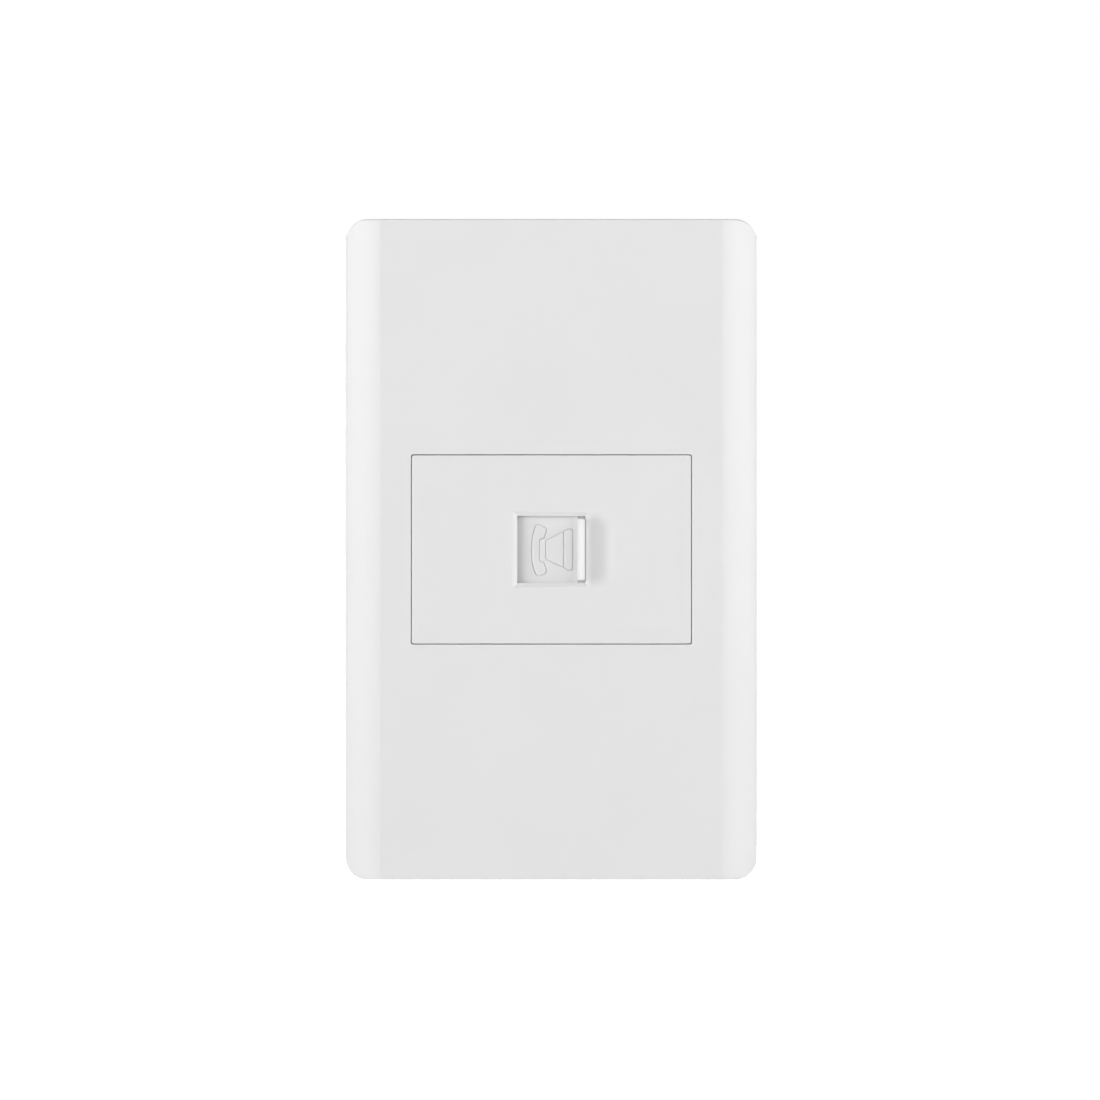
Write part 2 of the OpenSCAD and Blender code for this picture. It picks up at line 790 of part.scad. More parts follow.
module board_screw(side) {
    head_z = board_back_z - board_screw_head_h;
    color(steel) translate([side * board_screw_x, 0, 0]) difference() {
        union() {
            post(0, 0, board_screw_head / 2, head_z, board_back_z);
            post(0, 0, board_screw_shank / 2, board_back_z - join, board_back_z + board_screw_l);
        }
        for (turn = [0, 90]) rotate(turn)
            box([-cross_l / 2, cross_l / 2], [-cross_w / 2, cross_w / 2], [head_z - over, head_z + cross_d]);
    }
}

module terminal_block() {
    chamber_x = cage[0] / 2 + cage_gap;
    chamber_y = cage[1] / 2 + cage_gap;
    chamber_back = floor_z - cage[2] - cage_room;
    hole_z = cage_hole_z - cage_hole_h / 2;
    flare_z = entry_h / 2 + entry_flare * (over + block_edge) / block_edge;
    color(block_blue) difference() {
        along_x(block_w) polygon([
            [block_y[0], board_back_z],
            [block_y[0], block_back_z + block_chamfer[1]],
            [block_y[0] + block_chamfer[0], block_back_z],
            [block_y[1] - block_edge, block_back_z],
            [block_y[1], block_back_z + block_edge],
            [block_y[1], board_back_z]
        ]);
        for (i = [1:4]) translate([pole_x(i), 0, 0]) {
            box([-chamber_x, chamber_x], [pole_y - chamber_y, pole_y + chamber_y], [chamber_back, floor_z]);
            along_x(cage_hole_w + 2 * fit) polygon([
                [block_y[0] - over, hole_z - flare_z],
                [block_y[0] + block_edge, hole_z - entry_h / 2],
                [pole_y, hole_z - entry_h / 2],
                [pole_y, hole_z + entry_h / 2],
                [block_y[0] + block_edge, hole_z + entry_h / 2],
                [block_y[0] - over, hole_z + flare_z]
            ]);
            post(0, pole_y, screw_head_r + fit, block_back_z - over, chamber_back + join);
            post(0, pole_y, pin_r + cage_gap, floor_z - over, board_back_z + over);
        }
    }
}

module terminal_clamp(i) {
    y = [pole_y - cage[1] / 2, pole_y + cage[1] / 2];
    color(steel) translate([pole_x(i), 0, 0]) difference() {
        union() {
            box([-cage[0] / 2, cage[0] / 2], y, [floor_z - cage[2], floor_z]);
            post(0, pole_y, pin_r, floor_z - join, board_z + pin_end);
        }
        box([-cage_hole_w / 2, cage_hole_w / 2], [y[0] - over, y[1] + over],
            [cage_hole_z - cage_hole_h, cage_hole_z]);
        post(0, pole_y, screw_shank_r + thread_gap, floor_z - cage[2] - over, cage_hole_z - join);
    }
}

module terminal_screw(i) {
    top = floor_z - cage[2] - screw_lift;
    tip = cage_hole_z - cage_hole_h + clamp_open;
    color(steel) translate([pole_x(i), pole_y, 0]) difference() {
        union() {
            post(0, 0, screw_head_r, top - screw_head_h, top);
            post(0, 0, screw_shank_r, top - join, tip);
        }
        rotate(25 * i) box([-screw_head_r - over, screw_head_r + over],
            [-screw_slot_w / 2, screw_slot_w / 2],
            [top - screw_head_h - over, top - screw_head_h + screw_slot_d]);
    }
}

on_wall() cover_plate();
on_wall() mounting_frame();
on_wall() module_face();
on_wall() shutter();
on_wall() shutter_spring();
on_wall() shutter_guide();
on_wall() rear_housing();
on_wall() jack_body();
on_wall() circuit_board();
on_wall() terminal_block();
for (i = [1:4]) {
    on_wall() contact_wire(i);
    on_wall() terminal_clamp(i);
    on_wall() terminal_screw(i);
}
for (i = [1:2]) {
    on_wall() board_screw(i == 1 ? -1 : 1);
}
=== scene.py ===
import math
from functools import partial

import bmesh
import bpy
import numpy as np
from bpy.props import FloatProperty, FloatVectorProperty, IntProperty, PointerProperty
from mathutils import Matrix, Vector


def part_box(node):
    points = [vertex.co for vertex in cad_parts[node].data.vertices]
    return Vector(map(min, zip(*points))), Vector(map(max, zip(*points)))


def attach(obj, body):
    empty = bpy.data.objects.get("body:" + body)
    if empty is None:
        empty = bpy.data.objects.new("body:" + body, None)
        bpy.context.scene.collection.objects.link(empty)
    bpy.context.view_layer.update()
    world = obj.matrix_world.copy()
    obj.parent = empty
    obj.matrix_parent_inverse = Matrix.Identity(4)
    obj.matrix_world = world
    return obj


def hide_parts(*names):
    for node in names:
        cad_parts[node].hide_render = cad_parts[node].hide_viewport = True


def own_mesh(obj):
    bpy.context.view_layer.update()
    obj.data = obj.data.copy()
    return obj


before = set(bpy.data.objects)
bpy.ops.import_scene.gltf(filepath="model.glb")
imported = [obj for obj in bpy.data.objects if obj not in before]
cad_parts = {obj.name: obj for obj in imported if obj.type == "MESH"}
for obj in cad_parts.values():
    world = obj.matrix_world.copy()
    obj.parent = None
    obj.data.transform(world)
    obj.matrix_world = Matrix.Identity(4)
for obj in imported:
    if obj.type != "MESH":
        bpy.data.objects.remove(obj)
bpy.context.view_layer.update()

bl_info = {
    "name": "Telephone Wall Socket",
    "version": (1, 0, 0),
    "blender": (4, 5, 0),
    "location": "3D View > Sidebar > Socket",
    "description": "Fine surfaces, finishes and studio round the packed telephone wall socket",
    "category": "Object",
}

# Sizes below are in millimetres in the plate's own plan: x to the right, y up
# the wall and z out of the wall. on_wall() turns such a point into the row
# frame, in metres, where the front faces -Y.
MM = 0.001
BODY = "socket"
DOOR_BODY = "shutter"


def on_wall(x, y, z):
    return Vector((x * MM, -z * MM, y * MM))


def in_plan(point):
    return point[0] / MM, point[2] / MM, -point[1] / MM


def mm(length):
    return length / MM


# Sizes and colours


def length_prop(label, text, value, low=0.0, high=1.0):
    return FloatProperty(
        name=label, description=text, default=value * MM, min=low * MM, max=high * MM,
        subtype="DISTANCE", unit="LENGTH", precision=5,
    )


def colour_prop(label, text, value):
    return FloatVectorProperty(
        name=label, description=text, default=value, min=0, max=1, size=3, subtype="COLOR",
    )


def power_prop(label, text, value):
    return FloatProperty(name=label, description=text, default=value, min=0, unit="POWER")


class SocketSizes(bpy.types.PropertyGroup):
    plate_edge: length_prop("Plate edge", "Radius along the plate's outer edges", 0.3, 0.05, 0.6)
    window_edge: length_prop("Window edge", "Radius along the plate's window", 0.05, 0.02, 0.3)
    face_edge: length_prop("Module edge", "Radius round the module's face", 0.07, 0.02, 0.4)
    scoop_depth: length_prop("Scoop depth", "Depth of the finger scoop", 1.1, 0.3, 1.2)
    scoop_reach: length_prop("Scoop reach", "Distance over which the scoop fades out", 4.7, 3, 5)
    bevel_depth: length_prop("Bevel depth", "Depth of the opening's bevel", 0.36, 0.2, 0.45)
    stroke_width: length_prop("Pictogram stroke", "Width of the engraved strokes", 0.22, 0.1, 0.4)
    stroke_depth: length_prop("Pictogram depth", "Depth of the engraved strokes", 0.2, 0.02, 0.3)
    stroke_swell: length_prop("Pictogram swell", "Height of the swell by a stroke", 0.09, 0, 0.12)
    moulded_edge: length_prop("Moulded edge", "Radius on large hidden mouldings", 0.12, 0.02, 0.3)
    spring_wire: length_prop("Spring wire", "Wire diameter of the return spring", 0.2, 0.1, 0.3)
    spring_turns: IntProperty(
        name="Spring turns", description="Turns of the return spring", default=16, min=8, max=20,
    )
    wire_diameter: length_prop("Contact wire", "Diameter of the contact wires", 0.45, 0.2, 0.5)
    thread_pitch: length_prop("Thread pitch", "Pitch of the screw threads", 0.5, 0.3, 0.9)
    thread_depth: length_prop("Thread depth", "Height of the screw threads", 0.12, 0.05, 0.2)


class SocketColours(bpy.types.PropertyGroup):
    gloss_white: colour_prop("Gloss white", "Wall plate and module", (0.8, 0.8, 0.8))
    # A little darker than gloss white: painted shade of the recess the shutter lies in.
    shutter_white: colour_prop("Shutter white", "Sliding shutter", (0.775, 0.775, 0.775))
    plain_white: colour_prop("Plain white", "Hidden mouldings", (0.7, 0.7, 0.675))
    black: colour_prop("Black", "Jack insulator", (0.018, 0.018, 0.02))
    blue: colour_prop("Blue", "Terminal block", (0.03, 0.12, 0.36))
    board: colour_prop("Board", "Lacquered circuit board", (0.02, 0.14, 0.06))
    trace: colour_prop("Trace", "Copper under the board's lacquer", (0.06, 0.28, 0.11))
    gold: colour_prop("Gold", "Contact wires", (0.9, 0.66, 0.26))
    zinc: colour_prop("Zinc", "Screws and clamps", (0.66, 0.67, 0.69))
    spring: colour_prop("Spring", "Drawn spring wire", (0.5, 0.5, 0.52))
    solder: colour_prop("Solder", "Solder joints", (0.72, 0.73, 0.75))


class SocketStudio(bpy.types.PropertyGroup):
    distance: length_prop("Camera distance", "From the lens to the plate's face", 1200, 400, 3000)
    view_width: length_prop("View width", "Width of the picture at the plate", 199.7, 100, 400)
    left_light: power_prop("Left softbox", "Power of the softbox on the left", 12.35)
    right_light: power_prop("Right softbox", "Power of the softbox on the right", 12.25)
    top_light: power_prop("Top softbox", "Power of the softbox above", 0.15)
    back_light: power_prop("Back softboxes", "Power of each softbox at the back corners", 2.0)
    behind_light: power_prop("Softbox behind", "Power of the softbox behind the socket", 6.5)
    fill: FloatProperty(
        name="Fill", description="Level of the room's even light", default=0.05, min=0, max=1,
        subtype="FACTOR",
    )


def sizes():
    return bpy.context.scene.socket_sizes


def colours():
    return bpy.context.scene.socket_colours


# Node helpers


def plug(tree, socket, value):
    """Links value to socket if it is a socket too, and else sets it there as a constant."""
    if isinstance(value, bpy.types.NodeSocket):
        tree.links.new(value, socket)
    else:
        socket.default_value = value


def fill(tree, sockets, **values):
    """Fills a node's inputs by their names."""
    for key, value in values.items():
        plug(tree, sockets[key.replace("_", " ")], value)


def add_node(tree, kind, *values, settings=None, **inputs):
    """The outputs of a new node, with inputs filled by their order and by their names."""
    made = tree.nodes.new(kind if "Node" in kind else "ShaderNode" + kind)
    for key, value in (settings or {}).items():
        setattr(made, key, value)
    for socket, value in zip(made.inputs, values):
        plug(tree, socket, value)
    fill(tree, made.inputs, **inputs)
    return made.outputs


def maths(tree, operation, *values):
    return add_node(tree, "Math", *values, settings={"operation": operation})[0]


# Finishes

NOISE_MIDDLE = (0.3, 0.7)


def shader(name):
    """A new material with its node tree, its surface shader and object coordinates."""
    material = bpy.data.materials.new(name)
    material.use_nodes = True
    tree = material.node_tree
    surface = next(n for n in tree.nodes if n.type == "BSDF_PRINCIPLED")
    return material, tree, surface, add_node(tree, "TexCoord")["Object"]


def noise(tree, place, scale, detail=2.0, stretch=None):
    """Noise on object coordinates; stretch squeezes it along chosen axes."""
    if stretch:
        place = add_node(tree, "Mapping", Vector=place, Scale=stretch)["Vector"]
    return add_node(tree, "TexNoise", Vector=place, Scale=scale, Detail=detail)["Fac"]


def spread(tree, value, low, high):
    """value, mapped from the middle of the noise's range to low..high."""
    start, end = NOISE_MIDDLE
    return add_node(
        tree, "MapRange", Value=value, From_Min=start, From_Max=end, To_Min=low, To_Max=high,
    )["Result"]


def tinted(tree, value, colour, *darker):
    """colour, darkened by factors where value is at the low end of the noise's middle."""
    ramp = tree.nodes.new("ShaderNodeValToRGB")
    tones = scaled(colour, *darker), colour
    for element, position, tone in zip(ramp.color_ramp.elements, NOISE_MIDDLE, tones):
        element.position = position
        element.color = (*tone, 1)
    tree.links.new(value, ramp.inputs["Fac"])
    return ramp.outputs["Color"]


def bumped(tree, surface, value, depth, strength, under=None):
    """Bump of a depth in millimetres on surface, over the bump called under."""
    inputs = {"Strength": strength, "Distance": depth * MM, "Height": value}
    if under:
        inputs["Normal"] = under
    normal = add_node(tree, "Bump", **inputs)["Normal"]
    tree.links.new(normal, surface.inputs["Normal"])
    return normal


def blended(tree, share, first, second, kind):
    """first where share is 0 and second where it is 1, as a FLOAT or an RGBA value."""
    mix = tree.nodes.new("ShaderNodeMix")
    mix.data_type = kind
    for socket, value in zip([s for s in mix.inputs if s.enabled], (share, first, second)):
        plug(tree, socket, value)
    return next(s for s in mix.outputs if s.enabled)


def scaled(colour, *factors):
    """colour times one factor, or times one for each channel."""
    return tuple(min(1.0, c * f) for c, f in zip(colour, factors * (3 // len(factors))))


def moulding(name, colour, roughness, grain, depth, wear_and_light=None):
    """Moulded plastic: a faint cloudiness of tone, uneven gloss and the grain of the mould.
    The last argument names an attribute that is 1 where fingertips rub, with the tone factor and
    roughness there: the roughness is the rubbing, and the tone factor paints shade in the finger
    scoop and a highlight on the grip ridge."""
    material, tree, surface, place = shader(name)
    cloud = noise(tree, place, 45, 3)
    tone = tinted(tree, cloud, colour, 0.985)
    gloss = spread(tree, noise(tree, place, 90, 3), roughness * 0.94, roughness * 1.07)
    if wear_and_light:
        # Where the attribute is 1 the tone is scaled: painted shade in the finger scoop, a painted
        # highlight on the grip ridge.
        attribute, shade, rubbed_roughness = wear_and_light
        rub_and_light = add_node(tree, "Attribute", settings={"attribute_name": attribute})["Fac"]
        rubbed_and_lit = tinted(tree, cloud, scaled(colour, shade), 0.985)
        tone = blended(tree, rub_and_light, tone, rubbed_and_lit, "RGBA")
        gloss = blended(tree, rub_and_light, gloss, rubbed_roughness, "FLOAT")
    fill(tree, surface.inputs, Base_Color=tone, Roughness=gloss, IOR=1.49)
    swell = bumped(tree, surface, noise(tree, place, 70, 1), depth * 2, 0.4)
    bumped(tree, surface, noise(tree, place, grain, 2), depth, 0.6, swell)
    return material


def metal(name, colour, roughness, stretch, scratch=900, depth=0.004):
    """Bare or plated metal, with fine lines along the way it was drawn or rolled."""
    material, tree, surface, place = shader(name)
    lines = noise(tree, place, scratch, 4, stretch)
    gloss = spread(tree, lines, roughness * 0.7, roughness * 1.4)
    tone = tinted(tree, lines, colour, 0.82, 0.82, 0.8)
    fill(tree, surface.inputs, Base_Color=tone, Metallic=1, Roughness=gloss)
    bumped(tree, surface, lines, depth, 0.5)
    return material


def laminate(name, colour):
    """Glass-fibre board under lacquer: the weave shows as a faint square grain."""
    material, tree, surface, place = shader(name)
    weave = [
        add_node(
            tree, "TexWave", settings={"bands_direction": axis}, Vector=place, Scale=300,
            Distortion=1.5, Detail=1,
        )["Fac"] for axis in ("X", "Z")
    ]
    grain = maths(tree, "MULTIPLY", *weave)
    fill(
        tree, surface.inputs, Base_Color=tinted(tree, grain, colour, 0.8), Roughness=0.28,
        Coat_Weight=0.5, Coat_Roughness=0.12,
    )
    bumped(tree, surface, grain, 0.012, 0.4)
    return material


FINISH = {}


def make_finishes():
    c = colours()
    smooth = (0.38, 3200, 0.0012)
    # The scoop's tone times 0.87 is painted shade and the ridge's tone times 1.08 is a painted
    # highlight; their roughness, 0.8 and 0.27, is the rub of fingertips.
    scoop, ridge = ("scoop_wear", 0.87, 0.8), ("ridge_polish", 1.08, 0.27)
    for finish, colour, settings in (
        ("gloss_white", c.gloss_white, smooth),
        ("module_white", c.gloss_white, (*smooth, scoop)),
        ("shutter_white", c.shutter_white, (*smooth, ridge)),
        ("plain_white", c.plain_white, (0.48, 2400, 0.008)),
        ("black", c.black, (0.5, 2600, 0.01)),
        ("blue", c.blue, (0.42, 2400, 0.009)),
    ):
        FINISH[finish] = moulding(finish + "_plastic", tuple(colour), *settings)
    FINISH["board"] = laminate("board_laminate", tuple(c.board))
    FINISH["trace"] = laminate("lacquered_trace", tuple(c.trace))
    for finish, name, colour, settings in (
        ("gold", "gold_plating", c.gold, (0.2, (1, 0.05, 1))),
        ("zinc", "zinc_plating", c.zinc, (0.3, (1, 0.3, 1))),
        ("spring", "spring_wire", c.spring, (0.26, (1, 0.4, 0.4), 1500)),
        ("solder", "solder", c.solder, (0.22, (1, 1, 1), 500, 0.01)),
    ):
        FINISH[finish] = metal(name, tuple(colour), *settings)


# Mesh helpers


def solid_copy(node):
    """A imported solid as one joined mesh, with each flat area as one face where it can be."""
    bm = bmesh.new()
    bm.from_mesh(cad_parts[node].data)
    bmesh.ops.remove_doubles(bm, verts=bm.verts, dist=1e-6)
    bmesh.ops.dissolve_limit(bm, angle_limit=math.radians(0.5), verts=bm.verts, edges=bm.edges)
    return bm


def cut_at(bm, point, normal, clear=False):
    """Cuts bm by a plane. clear also takes away what lies on the normal's side and caps the cut."""
    everything = [*bm.verts, *bm.edges, *bm.faces]
    made = bmesh.ops.bisect_plane(
        bm, geom=everything, dist=1e-8, plane_co=point, plane_no=normal, clear_outer=clear,
    )
    if clear:
        rim = [g for g in made["geom_cut"] if isinstance(g, bmesh.types.BMEdge)]
        bmesh.ops.triangle_fill(bm, edges=rim, use_beauty=True, normal=normal)


def round_off(bm, radius, angle=30, segments=2, keep=None):
    """Rounds the sharp edges of bm. keep is a test for the edges that may be rounded."""
    limit = math.radians(angle)
    sharp = [
        e for e in bm.edges
        if len(e.link_faces) == 2 and e.calc_face_angle(0) > limit and (keep is None or keep(e))
    ]
    bmesh.ops.bevel(
        bm, geom=sharp, offset=radius * MM, offset_type="OFFSET", segments=segments, profile=0.5,
        clamp_overlap=False, affect="EDGES", miter_outer="SHARP",
    )


def linked(name, data):
    """A new object of data, in the scene."""
    obj = bpy.data.objects.new(name, data)
    bpy.context.scene.collection.objects.link(obj)
    return obj


def mesh_from(bm, name):
    mesh = bpy.data.meshes.new(name)
    bm.to_mesh(mesh)
    bm.free()
    return mesh


def smooth_up_to(mesh, angle):
    mesh.shade_smooth()
    mesh.set_sharp_from_angle(angle=math.radians(angle))


def piece_from(bm, name, finish, smooth, weighted=True):
    """bm as a named object with its finish, smooth except at its sharp edges."""
    mesh = mesh_from(bm, name)
    mesh.materials.clear()
    mesh.materials.append(FINISH[finish])
    smooth_up_to(mesh, smooth)
    obj = linked(name, mesh)
    if weighted:
        obj.modifiers.new("weighted_normals", "WEIGHTED_NORMAL").keep_sharp = True
        settle(obj)
    obj["finish"] = finish
    return obj


def settle(obj):
    """Turns what obj's modifiers give into its own mesh, and takes them off."""
    graph = bpy.context.evaluated_depsgraph_get()
    seen = obj.evaluated_get(graph)
    mesh = bpy.data.meshes.new_from_object(seen, preserve_all_data_layers=True, depsgraph=graph)
    obj.modifiers.clear()
    old = obj.data
    obj.data = mesh
    mesh.name = obj.name
    bpy.data.meshes.remove(old)


def removed(obj):
    """Deletes obj and its mesh."""
    mesh = obj.data
    bpy.data.objects.remove(obj)
    bpy.data.meshes.remove(mesh)


def place(obj, *nodes, body=BODY):
    """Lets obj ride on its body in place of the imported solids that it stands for."""
    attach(obj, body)
    if nodes:
        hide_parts(*nodes)
    return obj


def box_into(bm, low, high):
    """Adds a closed box between two corners in the plan."""
    made = bmesh.ops.create_cube(bm, size=1)["verts"]
    for v in made:
        v.co = on_wall(*[low[i] if v.co[i] < 0 else high[i] for i in range(3)])
    faces = {f for v in made for f in v.link_faces}
    bmesh.ops.recalc_face_normals(bm, faces=list(faces))


def turned_into(bm, centre, profile, sides):
    """Adds a turned shape on an axis out of the wall: profile holds (radius, z) pairs."""
    x, y = centre
    rings = []
    for radius, z in profile:
        if radius < 1e-6:
            rings.append([bm.verts.new(on_wall(x, y, z))] * sides)
            continue
        turns = [2 * math.pi * i / sides for i in range(sides)]
        spots = [(x + radius * math.cos(a), y + radius * math.sin(a), z) for a in turns]
        rings.append([bm.verts.new(on_wall(*spot)) for spot in spots])
    faces = []
    for a, b in zip(rings, rings[1:]):
        for i in range(sides):
            j = (i + 1) % sides
            corners = list(dict.fromkeys([a[i], a[j], b[j], b[i]]))
            if len(corners) > 2:
                faces.append(bm.faces.new(corners))
    bmesh.ops.recalc_face_normals(bm, faces=faces)


def carve(obj, bm):
    """Takes the shape in bm out of obj."""
    cutter = linked("cutter", mesh_from(bm, "cutter"))
    cut = obj.modifiers.new("cut", "BOOLEAN")
    cut.operation = "DIFFERENCE"
    cut.solver = "EXACT"
    cut.object = cutter
    settle(obj)
    removed(cutter)


def stations(*runs):
    """Grid lines from (start, end, step) runs and single values, sorted, none closer than 0.004."""
    values = []
    for run in runs:
        if isinstance(run, tuple):
            start, end, step = run
            count = max(1, round((end - start) / step))
            values += [start + (end - start) * i / count for i in range(count + 1)]
        else:
            values.append(run)
    kept = []
    for v in sorted(values):
        if not kept or v - kept[-1] > 0.004:
            kept.append(v)
    return kept


def relief_slab(bm, xs, ys, height, base, hole=None, shift=None, mark=None):
    """A closed slab over a grid of lines, whose front stands at height(x, y) and whose back is flat
    at base. hole leaves an opening of whole grid cells, shift moves points in the plan, and mark is
    an attribute's name and the function that fills it."""
    layer = bm.verts.layers.float.new(mark[0]) if mark else None
    grid_x, grid_y = np.meshgrid(np.array(xs), np.array(ys), indexing="ij")
    front = height(grid_x, grid_y)
    marked = mark[1](grid_x, grid_y) if mark else None
    if shift:
        grid_x, grid_y = shift(grid_x, grid_y)
    made = {}

    def corner(i, j, z=None):
        if (i, j, z) not in made:
            height = front[i, j] if z is None else z
            made[i, j, z] = bm.verts.new(on_wall(grid_x[i, j], grid_y[i, j], height))
            if layer and z is None:
                made[i, j, z][layer] = marked[i, j]
        return made[i, j, z]

    def solid(i, j):
        if not (0 <= i < len(xs) - 1 and 0 <= j < len(ys) - 1):
            return False
        x, y = (xs[i] + xs[i + 1]) / 2, (ys[j] + ys[j + 1]) / 2
        return not (hole and hole[0][0] < x < hole[0][1] and hole[1][0] < y < hole[1][1])

    rim = []
    for i in range(len(xs) - 1):
        for j in range(len(ys) - 1):
            if not solid(i, j):
                continue
            ring = [(i, j), (i + 1, j), (i + 1, j + 1), (i, j + 1)]
            bm.faces.new([corner(*spot) for spot in ring])
            beside = [(i, j - 1), (i + 1, j), (i, j + 1), (i - 1, j)]
            for k in range(4):
                if not solid(*beside[k]):
                    a, b = ring[k], ring[(k + 1) % 4]
                    ends = corner(*a, base), corner(*b, base)
                    side = bm.faces.new((corner(*b), corner(*a), *ends))
                    rim += [e for e in side.edges if all(v in ends for v in e.verts)]
    bmesh.ops.triangle_fill(bm, edges=rim, use_beauty=True, normal=(0, 1, 0))


# Geometry node trees


class Tree:
    """A geometry node tree with named inputs, for pieces that repeat or follow a path."""

    def __init__(self, name, **inputs):
        self.group = bpy.data.node_groups.new(name, "GeometryNodeTree")
        self.group.is_modifier = True
        kinds = {float: "Float", int: "Int", tuple: "Vector", type(None): "Material"}
        new_socket = self.group.interface.new_socket
        new_socket(name="Geometry", in_out="INPUT", socket_type="NodeSocketGeometry")
        for label, value in inputs.items():
            kind = "NodeSocket" + kinds[type(value)]
            socket = new_socket(name=label, in_out="INPUT", socket_type=kind)
            if value is not None:
                socket.default_value = value
        new_socket(name="Geometry", in_out="OUTPUT", socket_type="NodeSocketGeometry")
        self.given = self.group.nodes.new("NodeGroupInput").outputs

    def __getitem__(self, name):
        return self.given[name]

    def add(self, kind, settings=None, **inputs):
        return add_node(self.group, "GeometryNode" + kind, settings=settings, **inputs)

    def operations(self, *names):
        """A function for each named operation, which adds its maths node."""
        return [partial(maths, self.group, name) for name in names]

    def vector(self, x, y, z):
        return add_node(self.group, "CombineXYZ", x, y, z)[0]

    def path(self):
        return self.add("MeshToCurve", Mesh=self["Geometry"])["Curve"]

    def ring(self, sides, wire):
        radius = maths(self.group, "MULTIPLY", wire, 0.5)
        return self.add("CurvePrimitiveCircle", Resolution=sides, Radius=radius)

    def tube(self, curve, profile):
        """profile drawn along curve and closed at its ends."""
        shape = self.add("CurveToMesh", Curve=curve, Profile_Curve=profile["Curve"], Fill_Caps=True)
        return shape["Mesh"]

    def finish(self, geometry):
        """Ends the tree in Realize Instances and Set Material."""
        real = self.add("RealizeInstances", Geometry=geometry)["Geometry"]
        painted = self.add("SetMaterial", Geometry=real, Material=self["Material"])
        add_node(self.group, "NodeGroupOutput", Geometry=painted["Geometry"])
        return self.group


def grown(name, group, finish, points=(), runs=(), **values):
    """A piece grown by a node tree from a base of plan points and the runs that join them."""
    base = bpy.data.meshes.new(name)
    edges = [(a, a + 1) for start, end in runs for a in range(start, end)]
    base.from_pydata([on_wall(*p) for p in points], edges, [])
    obj = linked(name, base)
    modifier = obj.modifiers.new("grow", "NODES")
    modifier.node_group = group
    values["Material"] = FINISH[finish]
    for item in group.interface.items_tree:
        if item.item_type == "SOCKET" and item.in_out == "INPUT" and item.name in values:
            modifier[item.identifier] = values[item.name]
    settle(obj)
    smooth_up_to(obj.data, 40)
    obj["finish"] = finish
    return obj


def coil_tree():
    """A compression spring along X whose first and last turns lie closed."""
    t = Tree(
        "coil_spring", Length=0.01, Turns=8, Radius=0.001, Wire=0.0002, Start=(0.0, 0.0, 0.0),
        Material=None,
    )
    add, sub, mul, div, least, most, sine, cosine = t.operations(
        "ADD", "SUBTRACT", "MULTIPLY", "DIVIDE", "MINIMUM", "MAXIMUM", "SINE", "COSINE",
    )
    steps = 28.0
    line = t.add("MeshLine", Count=add(mul(t["Turns"], steps), 1.0))["Mesh"]
    turn = div(t.add("InputIndex")[0], steps)
    closed = mul(t["Wire"], 1.1)
    active = sub(t["Turns"], 2.0)
    pitch = div(sub(t["Length"], mul(closed, 2.0)), active)
    first = mul(least(turn, 1.0), closed)
    middle = mul(least(most(sub(turn, 1.0), 0.0), active), pitch)
    last = mul(most(sub(sub(turn, 1.0), active), 0.0), closed)
    reach = add(add(first, middle), last)
    angle = mul(turn, 2 * math.pi)
    across, up = (mul(way(angle), t["Radius"]) for way in (cosine, sine))
    moved = t.add("SetPosition", Geometry=line, Position=t.vector(reach, across, up))["Geometry"]
    put = t.add("Transform", Geometry=moved, Translation=t["Start"])["Geometry"]
    curve = t.add("MeshToCurve", Mesh=put)["Curve"]
    return t.finish(t.tube(curve, t.ring(10, t["Wire"])))


def wire_tree():
    """A drawn wire along its base points, with each corner bent to a radius."""
    t = Tree("bent_wire", Wire=0.0005, Bend=0.0004, Material=None)
    bent = t.add(
        "FilletCurve", {"mode": "POLY"}, Curve=t.path(), Radius=t["Bend"], Count=7,
        Limit_Radius=True,
    )["Curve"]
    return t.finish(t.tube(bent, t.ring(16, t["Wire"])))


def trace_tree():
    """A flat copper strip along its base points, on the back of the board."""
    t = Tree("flat_trace", Width=0.0006, Height=0.00004, Material=None)
    half = maths(t.group, "MULTIPLY", t["Width"], 0.5)
    eased = t.add(
        "FilletCurve", {"mode": "POLY"}, Curve=t.path(), Radius=half, Count=3, Limit_Radius=True,
    )["Curve"]
    flat = t.add("CurvePrimitiveQuadrilateral", Width=t["Height"], Height=t["Width"])
    tilt = t.add("SetCurveNormal", {"mode": "FREE"}, Curve=eased, Normal=Vector((0, 1, 0)))["Curve"]
    return t.finish(t.tube(tilt, flat))


def thread_tree():
    """A screw thread: a ridge that winds round an axis out of the wall."""
    t = Tree(
        "screw_thread", Radius=0.001, Length=0.003, Pitch=0.0005, Depth=0.0001,
        Start=(0.0, 0.0, 0.0), Material=None,
    )
    turns = maths(t.group, "DIVIDE", t["Length"], t["Pitch"])
    helix = t.add(
        "CurveSpiral", Resolution=20, Rotations=turns, Start_Radius=t["Radius"],
        End_Radius=t["Radius"], Height=t["Length"],
    )["Curve"]
    ridge = t.add("CurvePrimitiveCircle", Resolution=3, Radius=t["Depth"])
    upright = t.add(
        "Transform", Geometry=t.tube(helix, ridge), Translation=t["Start"],
        Rotation=Vector((math.pi / 2, 0, 0)),
    )["Geometry"]
    return t.finish(upright)


